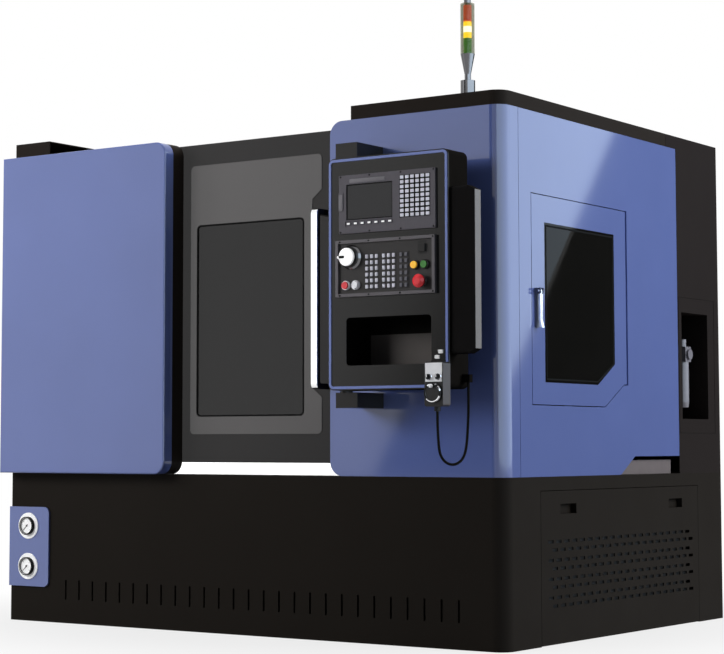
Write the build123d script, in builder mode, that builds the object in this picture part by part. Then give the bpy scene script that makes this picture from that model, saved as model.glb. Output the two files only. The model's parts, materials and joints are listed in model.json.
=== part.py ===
"""A two-axis CNC turning lathe with a slant bed, a sliding work door and a swinging control pendant.

The machine stands on the floor with its operator side towards -Y and the pendant end at +X.
The origin is the middle of the base, at floor level. All lengths are in millimetres.
"""

import math
import os

from build123d import *

os.makedirs("parts", exist_ok=True)

# Whole machine
base_width = 2220.0
base_depth = 1680.0
base_height = 569.0
machine_height = 1860.0
corner_radius = 50.0
left_x = -base_width / 2
right_x = base_width / 2
front_y = -base_depth / 2
rear_y = base_depth / 2
upper_height = machine_height - base_height


def across(share):
    """X of a place by its share of the machine's width."""
    return left_x + base_width * share


def inward(share):
    """Y of a place by its share of the base's depth."""
    return front_y + base_depth * share


def above(share):
    """Z of a place by its share of the height above the base."""
    return base_height + upper_height * share


def below(share):
    """Z of a place by its share of the base's height."""
    return base_height * share


# Clearances shared by every piece
overrun = 5.0
seam_gap = 2.0
slide_gap = 0.3
running_gap = 0.05

# Base cabinet: welded sheet box with a pull-out bay at the right end
base_wall = 8.0
base_floor = 12.0
deck_thickness = 12.0
slit_count = 27
slit_pitch_share = 0.030405
slit_pitch = base_width * slit_pitch_share
slit_width = 8.0
slit_height = 74.0
slit_centre_z_share = 0.221441
slit_centre_z = below(slit_centre_z_share)
slit_first_x_share = 0.128829
slit_first_x = across(slit_first_x_share)
bay_front_y_share = 0.141071
bay_front_y = inward(bay_front_y_share)
bay_rear_y_share = 0.873810
bay_rear_y = inward(bay_rear_y_share)
bay_top_z_share = 0.917399
bay_top_z = below(bay_top_z_share)
bulkhead_x_share = 0.477477
bulkhead_x = across(bulkhead_x_share)
chip_outlet_left_x_share = 0.527027
chip_outlet_left_x = across(chip_outlet_left_x_share)
chip_outlet_right_x_share = 0.932432
chip_outlet_right_x = across(chip_outlet_right_x_share)
chip_outlet_width = 96.0
anchor_radius = 11.0
anchor_inset = 90.0

# Enclosure levels and sheet
sheet = 4.0
column_top_z_share = 0.962045
column_top_z = above(column_top_z_share)
roof_top_z_share = 0.945778
roof_top_z = above(roof_top_z_share)
roof_thickness = 18.0
roof_bottom_z = roof_top_z - roof_thickness

# Left end: tall end cover, black cover behind the front panel, blue front panel
end_cover_right_x_share = 0.080180
end_cover_right_x = across(end_cover_right_x_share)
front_panel_right_x_share = 0.369369
front_panel_right_x = across(front_panel_right_x_share)
front_panel_top_z_share = 0.951201
front_panel_top_z = above(front_panel_top_z_share)
front_panel_depth = 47.0
front_panel_lap = 8.0
front_panel_radius = 48.0
front_panel_edge = 6.0
cover_proud = 18.0
cover_setback = 43.0
cover_front_y = front_y - cover_proud
cover_rear_y = front_y + cover_setback

# Pressure gauges on the blue plate low on the left
gauge_plate_width = 201.0
gauge_plate_low_z_share = 0.233743
gauge_plate_low_z = below(gauge_plate_low_z_share)
gauge_plate_high_z_share = 0.769772
gauge_plate_high_z = below(gauge_plate_high_z_share)
gauge_plate_thickness = 8.0
gauge_plate_return = 60.0
gauge_plate_radius = 25.0
gauge_x_share = 0.043694
gauge_x = across(gauge_x_share)
gauge_z_shares = (0.641476, 0.369069)
gauge_zs = [below(share) for share in gauge_z_shares]
gauge_flange_radius = 50.0
gauge_flange_thickness = 4.0
gauge_bezel_radius = 34.0
gauge_bezel_depth = 14.0
gauge_dial_radius = 30.0
gauge_dial_depth = 7.0
gauge_body_radius = 29.0
gauge_body_depth = 40.0
gauge_hole_radius = gauge_body_radius + seam_gap
needle_length = 25.0
needle_width = 2.4
needle_thickness = 1.2
needle_hub_radius = 4.0
needle_pin_radius = 1.5
needle_pin_depth = 4.0
needle_tail_share = 0.3
needle_rest_angle = 225.0

# Work door on the sill
door_lap = 36.0
door_left_x = front_panel_right_x - door_lap
column_left_x_share = 0.684685
column_left_x = across(column_left_x_share)
door_right_lap = 10.0
door_right_x = column_left_x + door_right_lap
door_setback = 47.0
door_front_y = front_y + door_setback
door_depth = 40.0
door_rear_y = door_front_y + door_depth
door_low_z_share = 0.036406
door_low_z = above(door_low_z_share)
door_skin = 4.0
door_rim = 26.0
door_plate_left_inset = 71.0
door_plate_right_inset = 68.0
door_plate_left_x = door_left_x + door_plate_left_inset
door_plate_right_x = column_left_x - door_plate_right_inset
door_plate_low_z_share = 0.113478
door_plate_low_z = above(door_plate_low_z_share)
door_plate_high_z_share = 0.884586
door_plate_high_z = above(door_plate_high_z_share)
door_plate_thickness = 2.0
door_plate_radius = 18.0
plate_notch_depth = 41.0
plate_notch_slant = 34.0
plate_notch_low_z_share = 0.213788
plate_notch_low_z = above(plate_notch_low_z_share)
plate_notch_high_z_share = 0.786212
plate_notch_high_z = above(plate_notch_high_z_share)
window_left_inset = 103.0
window_right_inset = 148.0
window_left_x = door_left_x + window_left_inset
window_right_x = column_left_x - window_right_inset
window_low_z_share = 0.164988
window_low_z = above(window_low_z_share)
window_high_z_share = 0.710302
window_high_z = above(window_high_z_share)
window_radius = 15.0
window_glass = 6.0
window_lip = 12.0
door_tongue_depth = 12.0
door_tongue_width = 10.0
handle_inset = 52.0
handle_left_x = column_left_x - handle_inset
handle_width = 25.0
handle_low_z_share = 0.233927
handle_low_z = above(handle_low_z_share)
handle_high_z_share = 0.724245
handle_high_z = above(handle_high_z_share)
handle_reach = 90.0
handle_bar_depth = 20.0
handle_foot_height = 20.0
handle_radius = 9.0

# Sill under the work door, and the plain strip under the side panel
sill_front_y = cover_rear_y
sill_back_lap = 6.0
sill_drop = 3.0
sill_right_lap = 70.0
sill_rear_y = door_rear_y + sill_back_lap
sill_top_z = door_low_z - sill_drop
sill_right_x = column_left_x + sill_right_lap
side_sill_front_y_share = 0.483333
side_sill_front_y = inward(side_sill_front_y_share)
side_sill_rear_y_share = 0.771429
side_sill_rear_y = inward(side_sill_rear_y_share)
side_sill_height = 52.0
side_sill_thickness = 30.0

# Right column, side panel, cap
column_depth = 40.0
column_radius = 50.0
side_thickness = 30.0
side_inner_x = right_x - side_thickness
corner_seam_y_share = 0.061905
corner_seam_y = inward(corner_seam_y_share)
side_rear_y_share = 0.781548
side_rear_y = inward(side_rear_y_share)
side_notch_front_y_share = 0.492857
side_notch_front_y = inward(side_notch_front_y_share)
side_notch_rear_y_share = 0.560714
side_notch_rear_y = inward(side_notch_rear_y_share)
side_notch_top_z_share = 0.051123
side_notch_top_z = above(side_notch_top_z_share)
cap_left_x_share = 0.724775
cap_left_x = across(cap_left_x_share)
cap_rear_y_share = 0.730357
cap_rear_y = inward(cap_rear_y_share)
cap_sheet = 3.0

# Side door with its pane and lever
side_door_front_y_share = 0.113095
side_door_front_y = inward(side_door_front_y_share)
side_door_rear_y_share = 0.530357
side_door_rear_y = inward(side_door_rear_y_share)
side_door_low_z_share = 0.189001
side_door_low_z = above(side_door_low_z_share)
side_door_high_z_share = 0.742835
side_door_high_z = above(side_door_high_z_share)
side_door_cut_y_share = 0.105952
side_door_cut_y = base_depth * side_door_cut_y_share
side_door_cut_z_share = 0.076685
side_door_cut_z = upper_height * side_door_cut_z_share
side_door_ledge = 30.0
side_door_gap = 3.0
side_door_thickness = 28.0
side_pin_radius = 5.0
side_pin_length = 18.0
pane_front_y_share = 0.171429
pane_front_y = inward(pane_front_y_share)
pane_rear_y_share = 0.464286
pane_rear_y = inward(pane_rear_y_share)
pane_low_z_share = 0.255616
pane_low_z = above(pane_low_z_share)
pane_high_z_share = 0.663826
pane_high_z = above(pane_high_z_share)
pane_cut_y_share = 0.072024
pane_cut_y = base_depth * pane_cut_y_share
pane_cut_z_share = 0.051898
pane_cut_z = upper_height * pane_cut_z_share
pane_lip = 10.0
pane_glass = 5.0
lever_y_share = 0.131548
lever_y = inward(lever_y_share)
lever_low_z_share = 0.389620
lever_low_z = above(lever_low_z_share)
lever_length = 135.0
lever_high_z = lever_low_z + lever_length
lever_width = 26.0
lever_base_depth = 5.0
lever_ear_depth = 23.0
lever_ear_height = 20.0
lever_ear_width = 5.0
lever_pin_radius = 3.0
lever_pin_out = 16.0
lever_bar_width = 15.0
lever_bar_depth = 8.0
lever_tip_lift = 6.0

# Rear electrical cabinet with the air unit niche
cabinet_front_y = side_rear_y
niche_front_y_share = 0.800000
niche_front_y = inward(niche_front_y_share)
niche_rear_y_share = 0.938095
niche_rear_y = inward(niche_rear_y_share)
niche_low_z_share = 0.160341
niche_low_z = above(niche_low_z_share)
niche_high_z_share = 0.476375
niche_high_z = above(niche_high_z_share)
niche_depth = 130.0
niche_frame_front_y_share = 0.784524
niche_frame_front_y = inward(niche_frame_front_y_share)
niche_frame_rear_y_share = 0.974405
niche_frame_rear_y = inward(niche_frame_rear_y_share)
niche_frame_low_z_share = 0.116964
niche_frame_low_z = above(niche_frame_low_z_share)
niche_frame_high_z_share = 0.521301
niche_frame_high_z = above(niche_frame_high_z_share)
groove_width = 3.0
groove_depth = 1.5
back_door_inset = 60.0
back_door_proud = 3.0
back_door_radius = 20.0
filter_y_share = 0.886905
filter_y = inward(filter_y_share)
filter_head = 48.0
filter_head_low_z_share = 0.333075
filter_head_low_z = above(filter_head_low_z_share)
filter_head_high_z_share = 0.378776
filter_head_high_z = above(filter_head_high_z_share)
filter_stem_top_z_share = 0.401239
filter_stem_top_z = above(filter_stem_top_z_share)
filter_bowl_low_z_share = 0.195972
filter_bowl_low_z = above(filter_bowl_low_z_share)
filter_bowl_radius = 23.0
filter_foot_radius = 20.0
filter_stem_radius = 14.0
filter_standoff = 40.0
filter_gauge_radius = 20.0
filter_gauge_depth = 10.0

# Inside of the work chamber
chamber_left_x_share = 0.344595
chamber_left_x = across(chamber_left_x_share)
liner_front_y = sill_rear_y + seam_gap
bulkhead_hole_radius = 80.0
liner_gap = 6.0
chute_front_z_share = 0.070488
chute_front_z = above(chute_front_z_share)
chute_rear_z_share = 0.012393
chute_rear_z = above(chute_rear_z_share)

# Slant bed: u runs up the slope towards the back, w stands out of the slope
slant_angle = 45.0
axis_y_share = 0.303571
axis_y = inward(axis_y_share)
axis_z_share = 0.380325
axis_z = above(axis_z_share)
axis_w_share = 0.224632
axis_w = upper_height * axis_w_share
bed_low_u_share = -0.193648
bed_low_u = upper_height * bed_low_u_share
bed_high_u_share = 0.348567
bed_high_u = upper_height * bed_high_u_share
bed_wall = 45.0
bed_left_reach = 560.0
bed_right_inset = 150.0
bed_left_x = chamber_left_x - bed_left_reach
bed_right_x = right_x - bed_right_inset
rail_u_shares = (0.069713, 0.286600)
rail_us = [upper_height * share for share in rail_u_shares]
rail_width = 60.0
rail_height = 40.0
rail_left_inset = 60.0
rail_left_x = chamber_left_x + rail_left_inset

# Headstock, spindle and chuck
headstock_length = 480.0
headstock_right_x = chamber_left_x - sheet
headstock_radius = 165.0
headstock_foot_half = 200.0
headstock_foot_height = 60.0
spindle_radius = 55.0
spindle_bore_radius = 26.0
spindle_tail = 120.0
nose_radius = 70.0
nose_length = 34.0
chuck_radius = 105.0
chuck_length = 100.0
jaw_count = 3
jaw_width = 26.0
jaw_slot_depth = 22.0
jaw_inner_radius = 40.0
jaw_step_radius = 72.0
jaw_outer_radius = 98.0
jaw_low_step = 20.0
jaw_high_step = 45.0

# Saddle, cross slide and turret
saddle_start = 480.0
saddle_left_x = chamber_left_x + saddle_start
saddle_length = 235.0
saddle_thickness = 60.0
saddle_lip = 24.0
guide_width = 50.0
guide_height = 25.0
slide_thickness = 50.0
slide_overhang = 30.0
turret_u_share = 0.236251
turret_u = upper_height * turret_u_share
turret_radius = 160.0
turret_sides = 8
turret_thickness = 90.0
turret_gap = 1.0
turret_shaft_radius = 45.0
turret_shaft_length = 120.0
housing_radius = 105.0
holder_height = 45.0
holder_width = 40.0
holder_length = 64.0
bit_height = 20.0

# Pull-out coolant tank behind the slotted panel
tank_panel_depth = 25.0
tank_panel_sheet = 3.0
tank_panel_rib = 25.0
tank_side_gap = 20.0
tank_back_gap = 40.0
tank_left_x = bulkhead_x + tank_back_gap
tank_top_z_share = 0.636731
tank_top_z = below(tank_top_z_share)
tank_skid_height = 30.0
tank_skid_width = 60.0
tank_skid_inset = 120.0
slot_rows = 4
slot_columns = 20
slot_pitch_share = 0.033333
slot_pitch = base_depth * slot_pitch_share
slot_length = 36.0
slot_height = 11.0
slot_pair_pitch_share = 0.110721
slot_pair_pitch = base_height * slot_pair_pitch_share
slot_pair_step_share = 0.049209
slot_pair_step = base_height * slot_pair_step_share
slot_first_y_share = 0.182143
slot_first_y = inward(slot_first_y_share)
slot_first_z_share = 0.611599
slot_first_z = below(slot_first_z_share)
pull_width = 114.0
pull_height = 34.0
pull_depth = 22.0
pull_z_share = 0.804921
pull_z = below(pull_z_share)
pull_y_shares = (0.257143, 0.755952)
pull_ys = [inward(share) for share in pull_y_shares]
pump_plate = 240.0
pump_plate_thickness = 8.0
pump_radius = 70.0
pump_top_z_share = 0.847627
pump_top_z = below(pump_top_z_share)
pump_tube_radius = 32.0
pump_tube_clear = 40.0

# Tower light on the cap
tower_x_share = 0.913063
tower_x = across(tower_x_share)
tower_y_share = 0.059524
tower_y = inward(tower_y_share)
tower_base_radius = 25.0
tower_base_height = 60.0
tower_neck_radius = 11.0
tower_neck_height = 22.0
tower_cup_radius = 24.5
tower_cup_height = 70.0
tower_lens_height = 175.0
tower_lens_wall = 2.5
tower_lamp_radius = 14.0
tower_lamp_gap = 3.0
tower_lamp_count = 3
tower_rod_radius = 4.0
tower_knob_radius = 12.0
tower_knob_height = 13.0

# Pendant: casing, front trim and back cover
pendant_left_x_share = 0.745045
pendant_left_x = across(pendant_left_x_share)
pendant_right_x_share = 0.961261
pendant_right_x = across(pendant_right_x_share)
pendant_low_z_share = 0.224632
pendant_low_z = above(pendant_low_z_share)
pendant_high_z_share = 0.832688
pendant_high_z = above(pendant_high_z_share)
pendant_standoff = 200.0
pendant_front_y = front_y - pendant_standoff
pendant_depth = 122.0
pendant_radius = 22.0
case_back_radius = 8.0
back_groove_inset = 24.0
grip_low_z_share = 0.311387
grip_low_z = above(grip_low_z_share)
grip_high_z_share = 0.735864
grip_high_z = above(grip_high_z_share)
grip_setback = 8.0
grip_reach = 64.0
grip_web_depth = 46.0
grip_bar_width = 30.0
grip_bar_depth = 40.0
grip_bar_chamfer = 16.0
grip_radius = 10.0
grip_edge_radius = 4.0
trim_inset = 4.0
trim_width = 9.0
trim_proud = 3.0
pocket_left_x_share = 0.777928
pocket_left_x = across(pocket_left_x_share)
pocket_right_x_share = 0.930180
pocket_right_x = across(pocket_right_x_share)
pocket_low_z_share = 0.288149
pocket_low_z = above(pocket_low_z_share)
pocket_high_z_share = 0.412858
pocket_high_z = above(pocket_high_z_share)
pocket_depth = 150.0
pocket_radius = 14.0
pocket_wall = 5.0
pivot_inset = 31.0
pivot_setback = 62.0
pivot_x = pendant_left_x + pivot_inset
pivot_y = pendant_front_y + pivot_setback
pivot_pin_radius = 12.0
pivot_pin_length = 40.0
bracket_left_x_share = 0.745946
bracket_left_x = across(bracket_left_x_share)
bracket_width = 88.0
bracket_reach = 160.0
bracket_front_y = front_y - bracket_reach
bracket_height = 52.0
bracket_boss = 6.0
bracket_boss_radius = 22.0

# Control unit with its screen and keys
unit_left_x_share = 0.767117
unit_left_x = across(unit_left_x_share)
unit_right_x_share = 0.940090
unit_right_x = across(unit_right_x_share)
unit_low_z_share = 0.632068
unit_low_z = above(unit_low_z_share)
unit_high_z_share = 0.785438
unit_high_z = above(unit_high_z_share)
unit_depth = 8.0
unit_recess = 4.0
screen_left_x_share = 0.780631
screen_left_x = across(screen_left_x_share)
screen_right_x_share = 0.864414
screen_right_x = across(screen_right_x_share)
screen_low_z_share = 0.666925
screen_low_z = above(screen_low_z_share)
screen_high_z_share = 0.760651
screen_high_z = above(screen_high_z_share)
screen_thickness = 1.5
keyfield_left_x_share = 0.877027
keyfield_left_x = across(keyfield_left_x_share)
keyfield_right_x_share = 0.931532
keyfield_right_x = across(keyfield_right_x_share)
keyfield_low_z_share = 0.663826
keyfield_low_z = above(keyfield_low_z_share)
keyfield_high_z_share = 0.773819
keyfield_high_z = above(keyfield_high_z_share)
key_columns = 6
key_rows = 9
key_fill_share = 0.76
key_mat = 1.5
key_proud = 3.0
softkey_count = 7
softkey_pitch_share = 0.149462
softkey_pitch = (screen_right_x - screen_left_x) * softkey_pitch_share
softkey_width = 15.0
softkey_height = 8.0
softkey_z_share = 0.657630
softkey_z = above(softkey_z_share)
slot_cover_width = 18.0
slot_cover_low_z_share = 0.695585
slot_cover_low_z = above(slot_cover_low_z_share)
slot_cover_high_z_share = 0.739737
slot_cover_high_z = above(slot_cover_high_z_share)
slot_cover_proud = 2.0

# Operator panel with its knob, buttons and keys
panel_left_x_share = 0.762162
panel_left_x = across(panel_left_x_share)
panel_right_x_share = 0.940090
panel_right_x = across(panel_right_x_share)
panel_low_z_share = 0.466305
panel_low_z = above(panel_low_z_share)
panel_high_z_share = 0.614253
panel_high_z = above(panel_high_z_share)
panel_depth = 14.0
panel_rim = 11.0
panel_recess = 8.0
panel_cavity = 24.0
knob_x_share = 0.789189
knob_x = across(knob_x_share)
knob_z_share = 0.569326
knob_z = above(knob_z_share)
knob_skirt_radius = 41.0
knob_skirt_height = 12.0
knob_radius = 30.0
knob_height = 30.0
knob_shaft_radius = 5.0
knob_shaft_length = 20.0
button_names = ("red_button", "white_button", "yellow_button", "green_button")
button_x_shares = (0.780631, 0.798649, 0.904505, 0.922072)
button_z_shares = (0.496514, 0.496514, 0.539892, 0.539892)
button_xs = [across(share) for share in button_x_shares]
button_zs = [above(share) for share in button_z_shares]
button_places = dict(zip(button_names, zip(button_xs, button_zs)))
button_radius = 12.0
button_collar_radius = 15.0
button_collar_height = 8.0
button_proud = 14.0
button_stem_length = 12.0
stop_x_share = 0.916667
stop_x = across(stop_x_share)
stop_z_share = 0.497289
stop_z = above(stop_z_share)
stop_radius = 22.0
stop_head_height = 16.0
stop_neck_radius = 12.0
stop_collar_radius = 17.0
stop_collar_height = 12.0
stop_travel_gap = 7.0
opkey_group_x_shares = (0.827252, 0.857883, 0.884459)
opkey_group_xs = [across(share) for share in opkey_group_x_shares]
opkey_group_counts = (3, 3, 2)
opkey_rows = 6
opkey_pitch_x_share = 0.049367
opkey_pitch_z_share = 0.105759
opkey_pitch_x = (panel_right_x - panel_left_x) * opkey_pitch_x_share
opkey_pitch_z = (panel_high_z - panel_low_z) * opkey_pitch_z_share
opkey_centre_z_share = 0.529822
opkey_centre_z = above(opkey_centre_z_share)
opkey_width = 10.0
opkey_height = 12.0
port_cover_x_share = 0.916667
port_cover_x = across(port_cover_x_share)
port_cover_z_share = 0.583269
port_cover_z = above(port_cover_z_share)
port_cover_size = 26.0
port_cover_proud = 8.0

# Hand-held handwheel unit hung on the pendant's lower right corner
hand_inset = 66.0
hand_left_x = pendant_right_x - hand_inset
hand_width = 72.0
hand_low_z_share = 0.178931
hand_low_z = above(hand_low_z_share)
hand_height = 145.0
hand_high_z = hand_low_z + hand_height
hand_depth = 45.0
hand_gap = 5.0
hand_radius = 9.0
hand_holder_width = 30.0
hand_hook_height = 40.0
hand_holder_top_z = hand_high_z + hand_hook_height
hand_centre_x = hand_left_x + hand_width / 2
hand_rear_y = pendant_front_y - hand_gap
hand_front_y = hand_rear_y - hand_depth
wheel_rise = 44.0
wheel_z = hand_low_z + wheel_rise
wheel_radius = 31.0
wheel_thickness = 10.0
wheel_dish = 3.0
wheel_pin_radius = 4.0
wheel_pin_length = 14.0
wheel_knob_radius = 6.0
wheel_knob_length = 14.0
wheel_knob_offset = 22.0
selector_rise = 96.0
selector_z = hand_low_z + selector_rise
selector_offset = 18.0
selector_radius = 8.5
selector_height = 14.0
selector_pin_radius = 3.0
relief_radius = 10.0
relief_length = 15.0

# Cord of the hand unit, from its strain relief to the elbow on the pendant's side
cord_diameter = 9.0
cord_run_share = 0.45
cord_drop = 172.0
cord_fall_shares = [
    (0.0, 1.0),
    (0.0, 0.797),
    (0.012, 0.593),
    (0.032, 0.401),
    (0.064, 0.217),
    (0.175, 0.080),
    (0.365, 0.0),
]
cord_rise_shares = [
    (0.585, 0.0),
    (0.775, 0.0513),
    (0.886, 0.140),
    (0.934, 0.258),
    (0.962, 0.390),
    (0.982, 0.524),
    (0.994, 0.660),
    (0.998, 0.787),
    (1.0, 0.900),
    (1.0, 1.0),
]
elbow_out = 18.0
elbow_setback = 87.0
elbow_rise = 21.0
elbow_size = 20.0
elbow_height = 26.0

# Directions on the slant bed
slant = math.radians(slant_angle)
slope_y = axis_y + axis_w * math.sin(slant)
slope_z = axis_z - axis_w * math.cos(slant)


def front_plane(y):
    """Upright plane that faces the operator, at depth y."""
    return Plane.XZ.offset(-y)


def side_plane(x):
    """Upright plane across the machine that faces the pendant end, at x."""
    return Plane.YZ.offset(x)


def slope_section(x):
    """Plane across the bed at x, with u up the slope and w out of it."""
    up_slope = (0, math.cos(slant), math.sin(slant))
    return Plane(origin=(x, slope_y, slope_z), x_dir=up_slope, z_dir=(1, 0, 0))


def slope_point(u, w):
    """Depth and height of a point that lies u up the slope and w out of it."""
    y = slope_y + u * math.cos(slant) - w * math.sin(slant)
    z = slope_z + u * math.sin(slant) + w * math.cos(slant)
    return (y, z)


def facing_operator(x, y, z):
    """Plane whose first direction points out of a front panel, for turned knobs."""
    return Plane(origin=(x, y, z), x_dir=(0, -1, 0), z_dir=(1, 0, 0))


def standing(x, y, z):
    """Plane whose first direction points up, for pieces turned about an upright axis."""
    return Plane(origin=(x, y, z), x_dir=(0, 0, 1), z_dir=(0, 1, 0))


def along_spindle(x):
    """Plane whose first direction runs along the spindle, from x towards the pendant end."""
    return Plane(origin=(x, axis_y, axis_z), x_dir=(1, 0, 0), z_dir=(0, -1, 0))


def rect(a0, a1, b0, b1, mode=Mode.ADD):
    """Rectangle between two corners of the current sketch."""
    with Locations(((a0 + a1) / 2, (b0 + b1) / 2)):
        Rectangle(a1 - a0, b1 - b0, mode=mode)


def soft_rect(a0, a1, b0, b1, radius, mode=Mode.ADD):
    """Rectangle between two corners of the current sketch, with round corners."""
    with Locations(((a0 + a1) / 2, (b0 + b1) / 2)):
        RectangleRounded(a1 - a0, b1 - b0, radius, mode=mode)


def outline(*points):
    """Straight-sided closed face in the current sketch."""
    with BuildLine() as path:
        Polyline(*points, close=True)
    make_face(path.edges())


def corner_plan(x0, x1, y0, y1, radius):
    """Plan of a piece whose front right corner is round."""
    with BuildLine() as path:
        Polyline((x1 - radius, y0), (x0, y0), (x0, y1), (x1, y1), (x1, y0 + radius))
        TangentArc((x1, y0 + radius), (x1 - radius, y0), tangent=(0, -1))
    make_face(path.edges())


def block(x0, x1, y0, y1, z0, z1, mode=Mode.ADD):
    """Rectangular block between two corners of the current part."""
    with Locations(((x0 + x1) / 2, (y0 + y1) / 2, (z0 + z1) / 2)):
        Box(x1 - x0, y1 - y0, z1 - z0, mode=mode)


def turned(plane, points, mode=Mode.ADD):
    """Turned piece: (along, radius) points carried round the plane's first direction."""
    with BuildSketch(plane) as section:
        outline(*points)
    revolve(section.sketch, axis=Axis(plane.origin, plane.x_dir), mode=mode)


def write(piece, label):
    """Name a finished piece and write its file."""
    piece.part.label = label
    export_step(piece.part, f"parts/{label}.step")


# Base cabinet: hollow box with vent slits, anchor holes, the tank bay and the chip outlet
bed_front_y = slope_point(bed_low_u, 0)[0]
with BuildPart() as base_cabinet:
    with BuildSketch():
        corner_plan(left_x, right_x, front_y, rear_y, corner_radius)
    extrude(amount=base_height)
    with BuildSketch(Plane.XY.offset(base_floor)):
        corner_plan(left_x + base_wall, right_x - base_wall, front_y + base_wall, rear_y - base_wall,
                    corner_radius - base_wall)
    extrude(amount=base_height - deck_thickness - base_floor, mode=Mode.SUBTRACT)
    block(bulkhead_x - base_wall, bulkhead_x, front_y + base_wall, rear_y - base_wall,
          base_floor, base_height - deck_thickness)
    block(right_x - base_wall - overrun, right_x + overrun, bay_front_y, bay_rear_y,
          base_floor, bay_top_z, mode=Mode.SUBTRACT)
    block(right_x - tank_panel_depth - seam_gap, right_x + overrun, bay_front_y, bay_rear_y,
          -overrun, base_floor + overrun, mode=Mode.SUBTRACT)
    block(chip_outlet_left_x, chip_outlet_right_x, bed_front_y - chip_outlet_width, bed_front_y - liner_gap,
          base_height - deck_thickness - overrun, base_height + overrun, mode=Mode.SUBTRACT)
    slit_xs = [slit_first_x + slit_pitch * index for index in range(slit_count)]
    with BuildSketch(front_plane(front_y - overrun)):
        with Locations(*[(x, slit_centre_z) for x in slit_xs]):
            Rectangle(slit_width, slit_height)
    extrude(amount=-(base_wall + 2 * overrun), mode=Mode.SUBTRACT)
    with BuildSketch(front_plane(front_y - overrun)):
        with Locations(*[(gauge_x, z) for z in gauge_zs]):
            Circle(gauge_hole_radius)
    extrude(amount=-(base_wall + 2 * overrun), mode=Mode.SUBTRACT)
    with BuildSketch(Plane.XY.offset(-overrun)):
        with GridLocations(base_width - 2 * anchor_inset, base_depth - 2 * anchor_inset, 2, 2):
            Circle(anchor_radius)
    extrude(amount=base_floor + 2 * overrun, mode=Mode.SUBTRACT)
write(base_cabinet, "base_cabinet")

# Blue gauge plate, folded round the left front edge of the base
with BuildPart() as gauge_plate:
    plate_left_x = left_x - gauge_plate_thickness
    plate_front_y = front_y - gauge_plate_thickness
    with BuildSketch(Plane.XY.offset(gauge_plate_low_z)):
        outline((plate_left_x, plate_front_y), (left_x + gauge_plate_width, plate_front_y),
                (left_x + gauge_plate_width, front_y), (left_x, front_y),
                (left_x, front_y + gauge_plate_return), (plate_left_x, front_y + gauge_plate_return))
    extrude(amount=gauge_plate_high_z - gauge_plate_low_z)
    fillet(gauge_plate.edges().filter_by(Axis.Y).group_by(Axis.X)[-1], gauge_plate_radius)
    fold = gauge_plate.edges().filter_by(Axis.Z).group_by(Axis.X)[0].sort_by(Axis.Y)[0]
    fillet(fold, gauge_plate_thickness - seam_gap)
    with BuildSketch(front_plane(plate_front_y - overrun)):
        with Locations(*[(gauge_x, z) for z in gauge_zs]):
            Circle(gauge_hole_radius)
    extrude(amount=-(gauge_plate_thickness + 2 * overrun), mode=Mode.SUBTRACT)
write(gauge_plate, "gauge_plate")

# Two flanged pressure gauges with open dials
gauge_seat_y = front_y - gauge_plate_thickness
gauge_dial_out = gauge_flange_thickness + gauge_bezel_depth - gauge_dial_depth
with BuildPart() as pressure_gauges:
    for gauge_z in gauge_zs:
        turned(facing_operator(gauge_x, gauge_seat_y, gauge_z), [
            (-gauge_body_depth, 0),
            (-gauge_body_depth, gauge_body_radius),
            (0, gauge_body_radius),
            (0, gauge_flange_radius),
            (gauge_flange_thickness, gauge_flange_radius),
            (gauge_flange_thickness, gauge_bezel_radius),
            (gauge_flange_thickness + gauge_bezel_depth, gauge_bezel_radius),
            (gauge_flange_thickness + gauge_bezel_depth, gauge_dial_radius),
            (gauge_dial_out, gauge_dial_radius),
            (gauge_dial_out, needle_pin_radius + running_gap),
            (gauge_dial_out - needle_pin_depth - slide_gap, needle_pin_radius + running_gap),
            (gauge_dial_out - needle_pin_depth - slide_gap, 0),
        ])
write(pressure_gauges, "pressure_gauges")

# Gauge needles, each on its own pin
needle_y = gauge_seat_y - gauge_dial_out - slide_gap
for needle_name, gauge_z in zip(("upper_needle", "lower_needle"), gauge_zs):
    with BuildPart() as needle:
        turned(facing_operator(gauge_x, needle_y, gauge_z), [
            (-needle_pin_depth, 0),
            (-needle_pin_depth, needle_pin_radius),
            (0, needle_pin_radius),
            (0, needle_hub_radius),
            (needle_thickness, needle_hub_radius),
            (needle_thickness, 0),
        ])
        with BuildSketch(front_plane(needle_y)):
            with Locations(Location((gauge_x, gauge_z), needle_rest_angle)):
                tail = needle_length * needle_tail_share
                with Locations(((needle_length - tail) / 2, 0)):
                    Rectangle(needle_length + tail, needle_width)
        extrude(amount=needle_thickness)
    write(needle, needle_name)

# Tall end cover on the left, open towards the headstock
with BuildPart() as left_end_cover:
    block(left_x, end_cover_right_x, front_y, cabinet_front_y, base_height, machine_height)
    block(left_x + sheet, end_cover_right_x + overrun, front_y + sheet, cabinet_front_y + overrun,
          base_height - overrun, machine_height - sheet, mode=Mode.SUBTRACT)
write(left_end_cover, "left_end_cover")

# Black cover behind the blue panel, stepped in plan round the end cover
with BuildPart() as headstock_cover:
    with BuildSketch(Plane.XY.offset(base_height)):
        outline((left_x, cover_front_y), (front_panel_right_x, cover_front_y),
                (front_panel_right_x, cover_rear_y), (end_cover_right_x, cover_rear_y),
                (end_cover_right_x, front_y), (left_x, front_y))
    extrude(amount=front_panel_top_z - base_height)
    fillet(headstock_cover.edges().filter_by(Axis.Y).group_by(Axis.X)[-1], front_panel_radius)
write(headstock_cover, "headstock_cover")

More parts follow.
